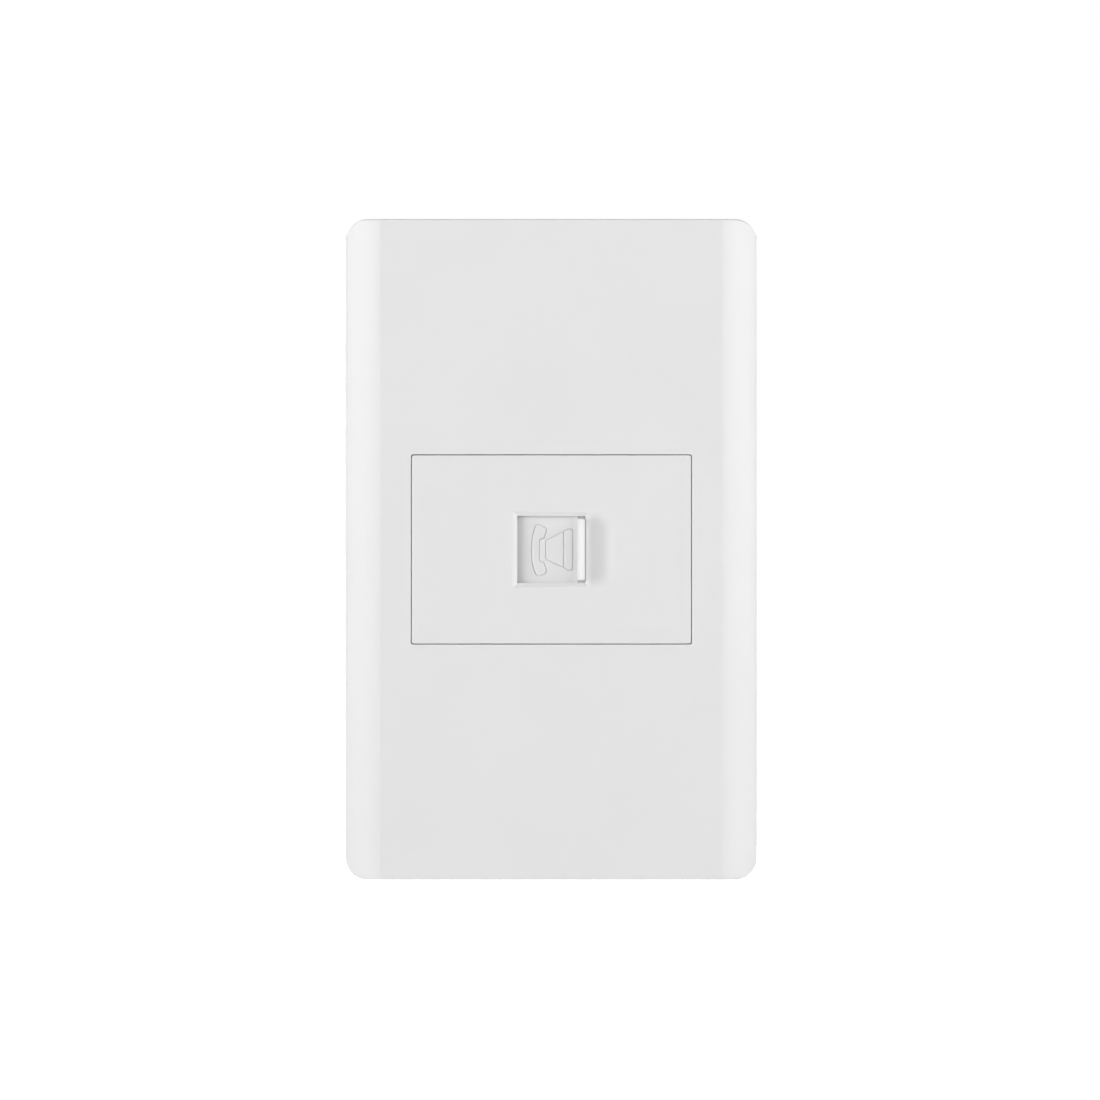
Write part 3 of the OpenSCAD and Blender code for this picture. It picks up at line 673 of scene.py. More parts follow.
def solder_tree():
    """Solder joints: one fillet of solder on each base point, round the end of a pin."""
    t = Tree("solder_joints", Radius=0.0007, Height=0.0008, Way=(0.0, 1.0, 0.0), Material=None)
    add, sub, mul, div = t.operations("ADD", "SUBTRACT", "MULTIPLY", "DIVIDE")
    foot = t.add(
        "MeshCone", {"fill_type": "NGON"}, Vertices=28, Side_Segments=6, Fill_Segments=1,
        Radius_Top=mul(t["Radius"], 0.34), Radius_Bottom=t["Radius"], Depth=t["Height"],
    )["Mesh"]
    spot = t.add("InputPosition")[0]
    share = div(add_node(t.group, "SeparateXYZ", spot)["Z"], t["Height"])
    waist = add(mul(mul(share, sub(share, 1.0)), 1.1), 1.0)
    slimmer = t.vector(waist, waist, 1.0)
    slim = add_node(t.group, "VectorMath", spot, slimmer, settings={"operation": "MULTIPLY"})[0]
    hollow = t.add("SetPosition", Geometry=foot, Position=slim)["Geometry"]
    turn = add_node(
        t.group, "FunctionNodeAlignRotationToVector", settings={"axis": "Z"}, Vector=t["Way"],
    )
    joints = t.add(
        "InstanceOnPoints", Points=t["Geometry"], Instance=hollow, Rotation=turn["Rotation"],
    )
    return t.finish(joints["Instances"])


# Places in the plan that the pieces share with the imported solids

FACE_Z = 8.5
MODULE = (50.7, 34.2)
OPEN_X, OPEN_Y = 6.2, 6.1
DOOR_Z = 6.88
DECK_Z = 4.36
BOARD_Z = -9.64
BOARD_BACK_Z = -11.24
CAVITY_X = -3.9
POLE_PITCH = 5.08
POLE_Y = -7.9
POLES = [(i - 1.5) * POLE_PITCH for i in range(4)]
WIRE_PITCH = 1.02
WIRE_ROWS = (CAVITY_X - 2.7, CAVITY_X - 1.4)
WIRES = [(WIRE_ROWS[i % 2], (i - 1.5) * WIRE_PITCH) for i in range(4)]
WIRE_TOP_Z = DECK_Z - 1.66
WIRE_BEND_X = CAVITY_X - 0.65
WIRE_TIP = (CAVITY_X + 3, DECK_Z - 10.8)
WIRE_TAIL_Z = BOARD_BACK_Z - 1.2
BOARD_SCREW_X = 17.5
BOARD_SCREW_L = 8
BOARD_HEAD_Z = BOARD_BACK_Z - 1.7
CAGE_FLOOR_Z = BOARD_BACK_Z - 1.2
CAGE_DEPTH = 5.2
CLAMP_LIFT = 0.55
CLAMP_SCREW_Z = CAGE_FLOOR_Z - CAGE_DEPTH - CLAMP_LIFT
CLAMP_END_Z = CAGE_FLOOR_Z - 1.1 - 2


# Wall plate

CREASE_X = 31.0
HALF_W = 37.5
HALF_H = 60.0
CORNER_R = 4.0
CORNER_X, CORNER_Y = HALF_W - CORNER_R, HALF_H - CORNER_R
SNAP = 0.06
FLANK_R = 12.0
RIM_R = 1.5
FLANK_C = (
    CREASE_X - FLANK_R * math.sin(math.radians(10)),
    FACE_Z - FLANK_R * math.cos(math.radians(10)),
)
RIM_X = HALF_W - RIM_R
RIM_C = (RIM_X, FLANK_C[1] + math.sqrt((FLANK_R - RIM_R) ** 2 - (RIM_X - FLANK_C[0]) ** 2))
TANGENT = math.atan2(RIM_C[1] - FLANK_C[1], RIM_C[0] - FLANK_C[0])
SEAM_X = RIM_C[0] + RIM_R * math.cos(TANGENT)


def flank_lines():
    """Distances from the plate's middle at which its flank is cut for a smooth curve."""
    lines = [CREASE_X - 0.25, CREASE_X, CREASE_X + 0.15]
    top = math.radians(90 - 10)
    for i in range(1, 34):
        a = top + (TANGENT - top) * i / 34
        lines.append(FLANK_C[0] + FLANK_R * math.cos(a))
    for i in range(11):
        a = TANGENT * (1 - i / 11)
        lines.append(RIM_C[0] + RIM_R * math.cos(a))
    return lines


def on_flank(x, z):
    """The point of the plate's exact section nearest to a point that lies on its packed surface."""
    if x < CREASE_X - 1e-4:
        return x, z
    for centre, radius, low, high in (
        (RIM_C, RIM_R, 0, TANGENT), (FLANK_C, FLANK_R, TANGENT, math.pi / 2),
    ):
        dx, dz = x - centre[0], z - centre[1]
        away = math.hypot(dx, dz)
        if low - 1e-3 <= math.atan2(dz, dx) <= high + 1e-3 and abs(away - radius) < SNAP:
            return centre[0] + dx * radius / away, centre[1] + dz * radius / away
    return x, z


def on_corner(x, y, z):
    """The same for a point beside a rounded corner, whose outer wall stays upright."""
    centre, radius = (FLANK_C, FLANK_R) if x < SEAM_X else (RIM_C, RIM_R)
    across = x - centre[0]
    if x > CREASE_X and abs(across) < radius:
        height = centre[1] + math.sqrt(radius * radius - across * across)
        z = height if abs(height - z) < SNAP else z
    across, up = x - CORNER_X, y - CORNER_Y
    if across > 0 and abs(math.hypot(across, up) - CORNER_R) < 0.05 and across < CORNER_R:
        y = CORNER_Y + math.sqrt(CORNER_R**2 - across * across)
    return y, z


class SOCKET_OT_wall_plate(bpy.types.Operator):
    """Clip-on wall plate, with its long flanks smoothed to their exact curve"""

    bl_idname = "socket.wall_plate"
    bl_label = "Wall plate"

    def execute(self, context):
        bm = solid_copy("cover_plate")
        for line in flank_lines():
            for side in (-1, 1):
                cut_at(bm, on_wall(side * line, 0, 0), (1, 0, 0))
        for v in bm.verts:
            x, y, z = in_plan(v.co)
            if abs(y) > CORNER_Y + 0.01:
                moved_y, moved_z = on_corner(abs(x), abs(y), z)
                v.co = on_wall(x, math.copysign(moved_y, y), moved_z)
            else:
                moved_x, moved_z = on_flank(abs(x), z)
                v.co = on_wall(math.copysign(moved_x, x), y, moved_z)
        bmesh.ops.remove_doubles(bm, verts=bm.verts, dist=2e-6)

        def outer(e):
            spots = [in_plan(v.co) for v in e.verts]
            return all(abs(y) > CORNER_Y - 0.1 and z > 3 for x, y, z in spots)

        def inner(e):
            spots = [in_plan(v.co) for v in e.verts]
            return all(abs(x) < 26 and z > FACE_Z - 0.1 for x, y, z in spots)

        round_off(bm, mm(sizes().plate_edge), 32, 3, outer)
        round_off(bm, mm(sizes().window_edge), 40, 2, inner)
        place(piece_from(bm, "wall_plate", "gloss_white", 34), "cover_plate")
        return {"FINISHED"}


# Module

BEVEL_LEFT = 1.27
BEVEL_RIGHT = 0.45
BEVEL_ENDS = (0.82, 0.56)
BEVEL_STEEPER = 1.3
LIP_R = 0.16
SCOOP_X = 1.35
SCOOP_HALF_L = 3.9
SOFT_MEETING = 0.02
FAR = 9.0
MODULE_CORNER_R = 0.4
RELIEF_Z = 7.15


def soft_largest(a, b):
    """The larger of two drops, with the line where they meet smoothed."""
    soft = 0.5 * (a + b + np.sqrt((a - b) ** 2 + SOFT_MEETING**2)) - SOFT_MEETING / 2
    return np.where(np.minimum(a, b) > 0, soft, np.maximum(a, b))


def edge_drop(distance, radius):
    """Fall of a rounded edge at a distance in from the outline."""
    gap = np.clip(radius - distance, 0, radius)
    return radius - np.sqrt(np.maximum(radius * radius - gap * gap, 0))


def smooth_step(low, high, value):
    t = np.clip((value - low) / (high - low), 0, 1)
    return t * t * (3 - 2 * t)


def scoop_drop(x, y):
    """Depth of the finger scoop, a dish that the opening's right edge cuts into."""
    away = x - OPEN_X
    past_end = np.maximum(np.abs(y) - SCOOP_HALF_L, 0) * 1.35
    out = np.clip(np.hypot(away - SCOOP_X, past_end) / mm(sizes().scoop_reach), 0, 1)
    dish = mm(sizes().scoop_depth) * (0.5 + 0.5 * np.cos(math.pi * out))
    lip = (1 - smooth_step(0.0, 1.1, away)) * smooth_step(4.9, 6.0, np.abs(y))
    return np.where(away >= -1e-6, dish * (1 - lip), 0)


def scoop_wear(x, y):
    """From 0 on the glossy face to 1 in the scoop: matt from fingertips, and darker there as
    painted shade.
    """
    inward = smooth_step(0.1, 1.4, x - OPEN_X)
    return inward * smooth_step(0.0, 0.9, scoop_drop(x, y))


def bevel_drop(away, width, bulge):
    """Fall of the bevel at a distance from the opening; bulge makes it steeper at the opening."""
    return (1 - np.clip(away / width, 0, 1)) ** bulge


def module_height(x, y):
    """Height of the module's face over the wall: rounded outline, bevelled opening and scoop."""
    wide, narrow = BEVEL_ENDS
    width = wide + (narrow - wide) * np.clip((x / OPEN_X + 1) / 2, 0, 1)
    left = bevel_drop(-OPEN_X - x, BEVEL_LEFT, 1.8)
    right = BEVEL_STEEPER * bevel_drop(x - OPEN_X, BEVEL_RIGHT, 1.2)
    end = BEVEL_STEEPER * bevel_drop(np.abs(y) - OPEN_Y, width, 1.05)
    bevel = mm(sizes().bevel_depth) * np.minimum(np.minimum(left, end), right)
    rim = np.minimum(MODULE[0] / 2 - np.abs(x), MODULE[1] / 2 - np.abs(y))
    lip = edge_drop(np.where(x > OPEN_X - 1e-6, x - OPEN_X, FAR), LIP_R)
    lip = np.where(np.abs(y) < OPEN_Y + 0.05, lip, 0)
    drop = soft_largest(bevel, scoop_drop(x, y))
    return FACE_Z - drop - edge_drop(rim, mm(sizes().face_edge)) - lip


def round_corners(width, height, radius):
    """A shift that turns the grid's square corners into round ones."""

    def shift(x, y):
        u = np.clip((np.abs(x) - (width / 2 - radius)) / radius, 0, 1)
        v = np.clip((np.abs(y) - (height / 2 - radius)) / radius, 0, 1)
        new_u, new_v = u * np.sqrt(1 - v * v / 2), v * np.sqrt(1 - u * u / 2)
        return x - np.sign(x) * (u - new_u) * radius, y - np.sign(y) * (v - new_v) * radius

    return shift


def module_lines():
    rim = [0, 0.01, 0.025, 0.045, 0.07, 0.12, 0.2, 0.3, 0.4]
    xs = stations(
        *(sign * (MODULE[0] / 2 - r) for r in rim for sign in (-1, 1)),
        (-24, -8, 3.2), (-7.6, -OPEN_X, 0.07), (-OPEN_X, OPEN_X, 0.6),
        *(OPEN_X + step for step in (0.01, 0.025, 0.045, 0.07, 0.1, 0.13, LIP_R)),
        (OPEN_X + LIP_R, 12, 0.12), (14, 24, 2.5),
    )
    ys = stations(
        *(sign * (MODULE[1] / 2 - r) for r in rim for sign in (-1, 1)),
        (-16, -8, 2), (-7.2, -OPEN_Y, 0.05), (-OPEN_Y, -5, 0.07), (-5, 5, 0.25),
        (5, OPEN_Y, 0.07), (OPEN_Y, 7.2, 0.05), (8, 16, 2),
    )
    return xs, ys


class SOCKET_OT_module_face(bpy.types.Operator):
    """Telephone module: face with bevelled opening and finger scoop, skirt, wings and posts"""

    bl_idname = "socket.module_face"
    bl_label = "Module face"

    def execute(self, context):
        bm = solid_copy("module_face")
        cut_at(bm, on_wall(0, 0, RELIEF_Z), (0, -1, 0), clear=True)
        hole = [(-half, half) for half in (OPEN_X, OPEN_Y)]
        corners = round_corners(*MODULE, MODULE_CORNER_R)
        # The scoop's attribute darkens its tone as painted shade and makes it matt.
        mark = ("scoop_wear", scoop_wear)
        relief_slab(bm, *module_lines(), module_height, RELIEF_Z, hole, corners, mark)
        place(piece_from(bm, "module_front", "module_white", 34), "module_face")
        return {"FINISHED"}


# Shutter

RIDGE_X = (4.9, 6.1)
RIDGE_L = 11.16
CREST_Z = 8.38
FLOOR_Z = DOOR_Z - 0.13
DOOR_RELIEF_Z = DOOR_Z - 0.5
FOOT_RISE = 0.22
ROOF_RISE = 0.3
RIDGE_EDGE = 0.14
DIP_X = -3.9
DIP_DEPTH = 0.3
STROKE_STEP = 0.045
HANDSET = [
    (-2.94, 4.25), (-3.28, 3.1), (-3.52, 1.83), (-3.65, 0.0), (-3.52, -2.05), (-3.26, -3.35),
    (-2.89, -4.44), (-2.72, -4.66), (-2.18, -4.74), (-1.6, -4.62), (-1.16, -4.38), (-0.86, -3.95),
    (-0.9, -3.6), (-1.06, -3.12), (-1.22, -2.62), (-1.46, -2.32), (-1.75, -2.25), (-2.05, -2.2),
    (-2.12, -1.95), (-2.12, 1.62), (-2.02, 1.88), (-1.74, 1.93), (-1.36, 2.02), (-1.22, 2.35),
    (-1.06, 2.82), (-0.88, 3.32), (-0.9, 3.68), (-1.1, 3.92), (-1.67, 4.2), (-2.3, 4.52),
    (-2.6, 4.55), (-2.94, 4.25),
]
REST = [
    (-1.03, 1.55), (-1.03, -1.6), (-0.86, -1.86), (2.16, -3.27), (2.75, -3.66), (3.1, -3.78),
    (3.68, -3.77), (3.86, -3.6), (3.86, 3.55), (3.68, 3.74), (3.1, 3.72), (2.7, 3.55), (2.03, 3.18),
    (-0.78, 1.76), (-1.03, 1.55),
]
CRADLE = [(2.22, 3.2), (2.22, -3.24)]


def stroke_offset(x, y):
    """From the nearest point of the telephone pictogram's strokes to each point."""
    nearest = np.full(x.shape, FAR)
    across, up = np.zeros(x.shape), np.zeros(x.shape)
    for path in (HANDSET, REST, CRADLE):
        for (ax, ay), (bx, by) in zip(path, path[1:]):
            dx, dy = bx - ax, by - ay
            t = np.clip(((x - ax) * dx + (y - ay) * dy) / (dx * dx + dy * dy), 0, 1)
            u, v = x - ax - t * dx, y - ay - t * dy
            nearer = np.hypot(u, v) < nearest
            nearest = np.where(nearer, np.hypot(u, v), nearest)
            across, up = np.where(nearer, u, across), np.where(nearer, v, up)
    return nearest, across, up


def onto_strokes(x, y):
    """Moves the grid's points that lie close to a stroke's middle or edge onto that line."""
    nearest, across, up = stroke_offset(x, y)
    edge = mm(sizes().stroke_width) / 2
    near = STROKE_STEP * 0.45
    target = np.where(nearest < near, 0, np.where(np.abs(nearest - edge) < near, edge, nearest))
    move = np.where(nearest > 1e-9, target / np.maximum(nearest, 1e-9) - 1, 0)
    return x + across * move, y + up * move


def stroke_height(x, y):
    """Height of the pictogram's strokes: a sharp groove with a low swell along its right side."""
    nearest, across, up = stroke_offset(x, y)
    edge = mm(sizes().stroke_width) / 2
    groove = mm(sizes().stroke_depth) * np.clip(1 - nearest / edge, 0, 1)
    lean = np.where(nearest > 1e-9, across / np.maximum(nearest, 1e-9), 0)
    rise = np.minimum(nearest / edge, 1.5 - 0.5 * nearest / edge)
    return mm(sizes().stroke_swell) * np.clip(lean, 0, 1) * np.clip(rise, 0, 1) - groove


def door_height(x, y):
    """Height of the shutter's front: floor, pictogram and grip ridge."""
    start, end = RIDGE_X
    foot = FOOT_RISE * np.clip(x - start + 1, 0, 1)
    foot = foot - DIP_DEPTH * np.clip((DIP_X - x) / 2.3, 0, 1) ** 1.3
    wall = smooth_step(start - 0.1, start + 0.2, x)
    roof = ROOF_RISE * np.clip((x - start) / (end - 0.2 - start), 0, 1)
    fall = edge_drop(np.where(x > start, end - x, FAR), RIDGE_EDGE)
    fall += edge_drop(RIDGE_L / 2 - np.abs(y), RIDGE_EDGE)
    inside = (x >= start - 0.1) & (x <= end + 1e-6) & (np.abs(y) <= RIDGE_L / 2 + 1e-6)
    ridge = (CREST_Z - FLOOR_Z - ROOF_RISE + roof) * wall - fall
    lift = np.where(inside, np.maximum(ridge, 0), 0)
    foot = np.where(x <= end + 1e-6, foot, 0)
    foot = np.maximum(foot * (1 - wall), 0) + np.minimum(foot, 0)
    return FLOOR_Z + stroke_height(x, y) + foot + lift


def ridge_polish(x, y):
    """1 on the grip ridge, glossy from fingertips and lighter as a painted highlight, and 0 on the
    rest of the shutter.
    """
    return smooth_step(RIDGE_X[0] - 0.05, RIDGE_X[0] + 0.1, x) * (x < RIDGE_X[1] + 0.01)


class SOCKET_OT_shutter(bpy.types.Operator):
    """Sliding shutter with grip ridge and engraved telephone pictogram"""

    bl_idname = "socket.shutter"
    bl_label = "Shutter"

    def execute(self, context):
        bm = solid_copy("shutter")
        low = DOOR_RELIEF_Z - 0.2
        round_off(bm, 0.08, 40, 1, lambda e: all(in_plan(v.co)[2] < low for v in e.verts))
        cut_at(bm, on_wall(0, 0, DOOR_RELIEF_Z), (0, -1, 0), clear=True)
        rim = (-0.01, 0, 0.015, 0.04, 0.08, RIDGE_EDGE, 0.4)
        xs = stations(
            -7.6, -7.55, -6.3, (-6.2, DIP_X, 0.4), (DIP_X, 4.3, STROKE_STEP), 4.5, 4.7,
            (4.78, 6.1, 0.05), 6.02, 6.06, 6.09, 6.105, 6.4, 6.7, 6.75,
        )
        ys = stations(
            -7.2, -7.15, -6.2, -5.8, (-4.98, 4.83, STROKE_STEP), 5.8, 6.2, 7.15, 7.2,
            *(sign * (RIDGE_L / 2 - r) for r in rim for sign in (-1, 1)),
        )

        def front(x, y):
            return door_height(*onto_strokes(x, y))

        # The ridge's attribute lightens its tone as a painted highlight and makes it glossier.
        mark = ("ridge_polish", ridge_polish)
        relief_slab(bm, xs, ys, front, DOOR_RELIEF_Z, shift=onto_strokes, mark=mark)
        place(piece_from(bm, "shutter_door", "shutter_white", 30), "shutter", body=DOOR_BODY)
        return {"FINISHED"}


class SOCKET_OT_return_spring(bpy.types.Operator):
    """Return spring, grown at the length of the imported spring; in the socket it closes up as the
    shutter slides open
    """

    bl_idname = "socket.return_spring"
    bl_label = "Return spring"

    def execute(self, context):
        low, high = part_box("shutter_spring")
        middle = (low + high) / 2
        wire = sizes().spring_wire
        length = high.x - low.x - wire
        obj = grown(
            "return_spring", coil_tree(), "spring", Length=length, Turns=sizes().spring_turns,
            Radius=(high.z - low.z - wire) / 2, Wire=wire,
            Start=(low.x + wire / 2, middle.y, middle.z),
        )
        place(obj, "shutter_spring")
        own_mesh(obj)
        return {"FINISHED"}


# Hidden mouldings


def moulded(solid, name, finish, radius=None):
    """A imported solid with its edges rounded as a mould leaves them."""
    bm = solid_copy(solid)
    round_off(bm, radius or mm(sizes().moulded_edge), 40)
    return place(piece_from(bm, name, finish, 34), solid)


class SOCKET_OT_mouldings(bpy.types.Operator):
    """Mounting frame, shutter guide and rear housing"""

    bl_idname = "socket.mouldings"
    bl_label = "Hidden mouldings"

    def execute(self, context):
        moulded("mounting_frame", "wall_frame", "plain_white")
        moulded("shutter_guide", "door_guide", "plain_white", 0.08)
        moulded("rear_housing", "module_housing", "plain_white")
        return {"FINISHED"}


class SOCKET_OT_jack(bpy.types.Operator):
    """Modular jack: insulator and four bent contact wires"""

    bl_idname = "socket.jack"
    bl_label = "Jack"

    def execute(self, context):
        moulded("jack_body", "jack_insulator", "black", 0.06)
        tree = wire_tree()
        for i, (x, y) in enumerate(WIRES):
            path = [
                (x, y, WIRE_TAIL_Z), (x, y, WIRE_TOP_Z), (WIRE_BEND_X, y, WIRE_TOP_Z),
                (WIRE_TIP[0], y, WIRE_TIP[1]),
            ]
            obj = grown(
                f"contact_spring_{i + 1}", tree, "gold", path, [(0, 3)],
                Wire=sizes().wire_diameter, Bend=0.4 * MM,
            )
            place(obj, f"contact_wire_{i + 1}")
        return {"FINISHED"}


class SOCKET_OT_board(bpy.types.Operator):
    """Circuit board with its traces and solder joints"""

    bl_idname = "socket.board"
    bl_label = "Circuit board"

    def execute(self, context):
        moulded("circuit_board", "board", "board", 0.05)
        z = BOARD_BACK_Z - 0.01
        (ax, ay), (bx, by), (cx, cy), (dx, dy) = WIRES
        paths = [
            [(ax, ay, z), (ax, ay - 0.9, z), (POLES[0], ay - 1.95, z), (POLES[0], POLE_Y, z)],
            [(bx, by, z), (bx + 1, by - 1, z), (POLES[1] - 0.6, by - 1, z), (POLES[1], by - 1.6, z),
             (POLES[1], POLE_Y, z)],
            [(cx, cy, z), (-1, cy, z), (0, cy - 1, z), (0, POLE_Y + 2.5, z), (POLES[2], POLE_Y, z)],
            [(dx, dy, z), (dx + 0.4, dy + 0.4, z), (3.9, dy + 0.4, z), (4.9, dy - 0.6, z),
             (4.9, POLE_Y + 2.7, z), (POLES[3], POLE_Y, z)],
        ]
        points, runs = [], []
        for path in paths:
            runs.append((len(points), len(points) + len(path) - 1))
            points += path
        place(grown(
            "board_traces", trace_tree(), "trace", points, runs, Width=0.6 * MM, Height=0.05 * MM,
        ))
        tree = solder_tree()
        tails = [(x, y, BOARD_BACK_Z) for x, y in WIRES]
        pins = [(x, POLE_Y, BOARD_Z) for x in POLES]
        for name, spots, radius, height, way in (
            ("wire_solder", tails, 0.48, 0.75, 1.0), ("pin_solder", pins, 1.1, 0.8, -1.0),
        ):
            place(grown(
                name, tree, "solder", spots, Radius=radius * MM, Height=height * MM,
                Way=(0.0, way, 0.0),
            ))
        return {"FINISHED"}


def screw(name, solid, centre, head, shank, tree, cutters):
    """A screw that points out of the wall. head holds its radius and its back and front z, shank
    its radius and its front z, and each cutter a recess's turn, width, length and depth."""
    bm = bmesh.new()
    r, back, front = head
    core, end = shank
    lip, chamfer = 0.22, 0.08
    turns = [math.pi / 2 * i / 5 for i in range(6)]
    dome = [(r - lip + lip * math.sin(a), back + lip - lip * math.cos(a)) for a in turns]
    turned_into(bm, centre, [
        (0, back), *dome, (r, front - chamfer), (r - chamfer, front), (core, front),
        (core, end - 0.25), (core * 0.7, end), (0, end),
    ], 48)
    body = piece_from(bm, name, "zinc", 30, False)
    for turn, width, length, depth in cutters:
        bm = bmesh.new()
        box_into(bm, (-length / 2, -width / 2, back - 1), (length / 2, width / 2, back + depth))
        spin = Matrix.Rotation(-math.radians(turn), 4, "Y")
        move = Matrix.Translation(on_wall(*centre, 0))
        bmesh.ops.transform(bm, verts=bm.verts, matrix=move @ spin)
        carve(body, bm)
    depth = sizes().thread_depth
    thread = grown(
        name + "_thread", tree, "zinc", Radius=core * MM - depth * 0.35,
        Length=(end - 0.3 - front) * MM, Pitch=sizes().thread_pitch, Depth=depth,
        Start=tuple(on_wall(*centre, front)),
    )
    bm = bmesh.new()
    for old in (body, thread):
        bm.from_mesh(old.data)
        removed(old)
    return place(piece_from(bm, name, "zinc", 30), solid)


class SOCKET_OT_fasteners(bpy.types.Operator):
    """Screws that hold the board, and the terminal screws"""

    bl_idname = "socket.fasteners"
    bl_label = "Screws"

    def execute(self, context):
        tree = thread_tree()
        cross = [(0, 0.7, 2.6, 1.0), (90, 0.7, 2.6, 1.0)]
        for i, side in enumerate((-1, 1)):
            screw(
                f"board_fixing_{i + 1}", f"board_screw_{i + 1}", (side * BOARD_SCREW_X, 0),
                (2.1, BOARD_HEAD_Z, BOARD_BACK_Z), (1.0, BOARD_BACK_Z + BOARD_SCREW_L), tree, cross,
            )
        for i, x in enumerate(POLES):
            screw(
                f"wire_clamp_screw_{i + 1}", f"terminal_screw_{i + 1}", (x, POLE_Y),
                (1.5, CLAMP_SCREW_Z - 1.6, CLAMP_SCREW_Z), (1.15, CLAMP_END_Z), tree,
                [(25 * (i + 1), 0.6, 4, 0.8)],
            )
        return {"FINISHED"}


class SOCKET_OT_terminals(bpy.types.Operator):
    """Terminal block and its clamp cages"""

    bl_idname = "socket.terminals"
    bl_label = "Terminals"

    def execute(self, context):
        moulded("terminal_block", "terminal_housing", "blue", 0.06)
        for i in range(4):
            moulded(f"terminal_clamp_{i + 1}", f"clamp_cage_{i + 1}", "zinc", 0.07)
        return {"FINISHED"}


# Studio


WHITE = (1, 1, 1, 1)
FLOOR_PAINT = (0.86, 0.86, 0.86, 1)
FLOOR_REACH = 4.0
FLOOR_DROP = -0.1
SQUARE = ((-1, -1), (1, -1), (1, 1), (-1, 1))


def aside(degrees):
    """A place one metre from the object, turned by degrees from the line to the camera."""
    turn = math.radians(degrees)
    return math.sin(turn), -math.cos(turn), 0


LAMPS = (
    ("softbox_left", aside(-57), "left_light", (1.1, 0.75)),
    ("softbox_right", aside(57), "right_light", (1.1, 0.75)),
    ("softbox_top", (0, -0.35, 0.94), "top_light", (0.9, 0.45)),
    ("softbox_back_left", (-0.7, 0.7, 0.45), "back_light", (0.6, 0.6)),
    ("softbox_back_right", (0.7, 0.7, 0.45), "back_light", (0.6, 0.6)),
    ("softbox_behind", (0, 1.0, 0.12), "behind_light", (0.9, 0.6)),
)


def lamp(name, where, power, size):
    """A softbox that faces the object."""
    data = bpy.data.lights.new(name, "AREA")
    data.shape = "RECTANGLE"
    data.size, data.size_y = size
    data.energy = power
    obj = linked(name, data)
    obj.location = where
    obj.rotation_euler = (-Vector(where)).to_track_quat("-Z", "Y").to_euler()


def camera_at(distance, view_width):
    """The photograph's viewpoint, with view_width filling the picture's width at the face."""
    data = bpy.data.cameras.new("camera")
    data.sensor_width = 36
    data.lens = data.sensor_width * distance / view_width
    data.clip_start, data.clip_end = 0.01, 20
    camera = linked("camera", data)
    camera.location = on_wall(-0.24, -0.1, FACE_Z) - Vector((0, distance, 0))
    camera.rotation_euler = (math.pi / 2, 0, 0)
    bpy.context.scene.camera = camera


def seen_directly(tree):
    """1 for camera, glossy and transmission rays, which see the white background."""
    rays = add_node(tree, "LightPath")
    seen = rays["Is Camera Ray"]
    for kind in ("Is Glossy Ray", "Is Transmission Ray"):
        seen = maths(tree, "MAXIMUM", seen, rays[kind])
    return seen


def emptied(owner):
    """The node tree of a new world or material, without its first nodes."""
    owner.use_nodes = True
    owner.node_tree.nodes.clear()
    return owner.node_tree


def white_room(fill):
    """A world that looks white and lights the object only with a low even fill."""
    world = bpy.data.worlds.new("white_room")
    tree = emptied(world)
    room, white = (
        add_node(tree, "Background", Color=WHITE, Strength=level)["Background"]
        for level in (fill, 1.0)
    )
    both = add_node(tree, "MixShader", seen_directly(tree), room, white)["Shader"]
    add_node(tree, "OutputWorld", Surface=both)
    bpy.context.scene.world = world


def pale_floor():
    """A floor that keeps the object's shadow and turns white away from the object."""
    material = bpy.data.materials.new("pale_floor")
    tree = emptied(material)
    paint = add_node(tree, "BsdfDiffuse", Color=FLOOR_PAINT)["BSDF"]
    spot = add_node(tree, "TexCoord")["Object"]
    away = add_node(tree, "VectorMath", spot, settings={"operation": "LENGTH"})["Value"]
    rise = add_node(
        tree, "MapRange", settings={"interpolation_type": "SMOOTHSTEP"}, Value=away, From_Min=0.2,
        From_Max=0.8, To_Min=0.62, To_Max=1.02,
    )["Result"]
    level = maths(tree, "MULTIPLY", rise, seen_directly(tree))
    glow = add_node(tree, "Emission", Color=WHITE, Strength=level)["Emission"]
    add_node(tree, "OutputMaterial", Surface=add_node(tree, "AddShader", paint, glow)["Shader"])
    mesh = bpy.data.meshes.new("floor")
    corners = [(x * FLOOR_REACH, y * FLOOR_REACH, FLOOR_DROP) for x, y in SQUARE]
    mesh.from_pydata(corners, [], [(0, 1, 2, 3)])
    mesh.materials.append(material)
    return linked("floor", mesh)


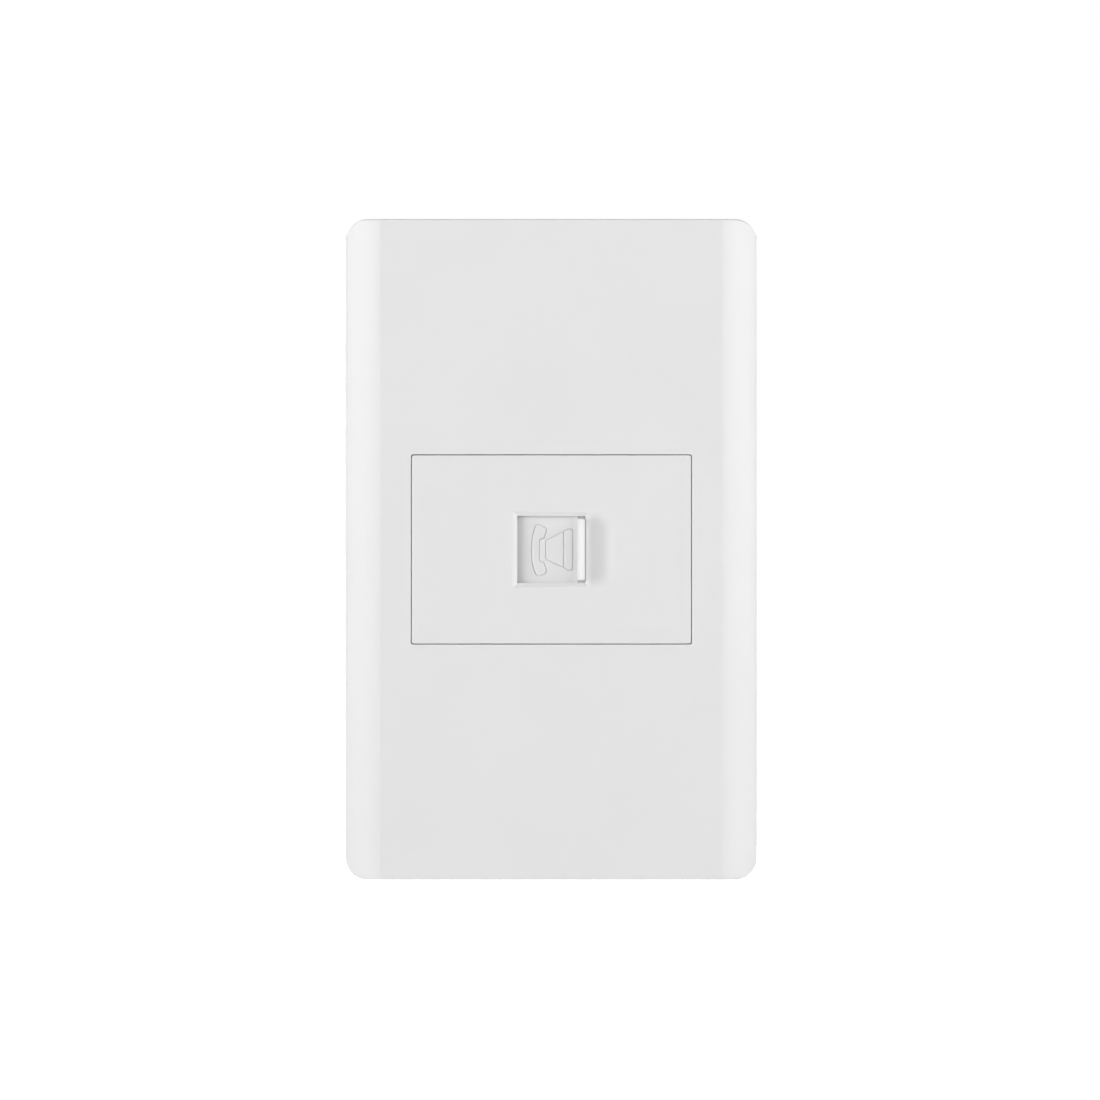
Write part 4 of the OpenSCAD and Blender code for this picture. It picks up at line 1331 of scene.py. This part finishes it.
class SOCKET_OT_studio(bpy.types.Operator):
    """Pale floor, white room, softboxes and the camera"""

    bl_idname = "socket.studio"
    bl_label = "Studio"

    def execute(self, context):
        studio = context.scene.socket_studio
        context.scene.view_settings.view_transform = "Standard"
        camera_at(studio.distance, studio.view_width)
        for name, where, power, size in LAMPS:
            lamp(name, where, getattr(studio, power), size)
        white_room(studio.fill)
        floor = pale_floor()
        return {"FINISHED"}


class SOCKET_PT_build(bpy.types.Panel):
    """Lists what the socket is built from"""

    bl_label = "Telephone Wall Socket"
    bl_space_type = "VIEW_3D"
    bl_region_type = "UI"
    bl_category = "Socket"

    def draw(self, context):
        layout = self.layout
        for operator in OPERATORS:
            layout.operator(operator.bl_idname)
        for group, kind in PROPERTIES.items():
            box = layout.box()
            for name in kind.__annotations__:
                box.prop(getattr(context.scene, group), name)


OPERATORS = (
    SOCKET_OT_wall_plate,
    SOCKET_OT_module_face,
    SOCKET_OT_shutter,
    SOCKET_OT_return_spring,
    SOCKET_OT_mouldings,
    SOCKET_OT_jack,
    SOCKET_OT_board,
    SOCKET_OT_fasteners,
    SOCKET_OT_terminals,
    SOCKET_OT_studio,
)
PROPERTIES = {
    "socket_sizes": SocketSizes,
    "socket_colours": SocketColours,
    "socket_studio": SocketStudio,
}


def register():
    for group, kind in PROPERTIES.items():
        bpy.utils.register_class(kind)
        setattr(bpy.types.Scene, group, PointerProperty(type=kind))
    for operator in OPERATORS:
        bpy.utils.register_class(operator)
    bpy.utils.register_class(SOCKET_PT_build)


def unregister():
    bpy.utils.unregister_class(SOCKET_PT_build)
    for operator in reversed(OPERATORS):
        bpy.utils.unregister_class(operator)
    for group, kind in reversed(PROPERTIES.items()):
        delattr(bpy.types.Scene, group)
        bpy.utils.unregister_class(kind)


def main():
    register()
    make_finishes()
    bpy.ops.socket.studio()
    bpy.ops.socket.wall_plate()
    bpy.ops.socket.module_face()
    bpy.ops.socket.shutter()
    bpy.ops.socket.return_spring()
    bpy.ops.socket.mouldings()
    bpy.ops.socket.jack()
    bpy.ops.socket.board()
    bpy.ops.socket.fasteners()
    bpy.ops.socket.terminals()


if __name__ == "__main__":
    main()
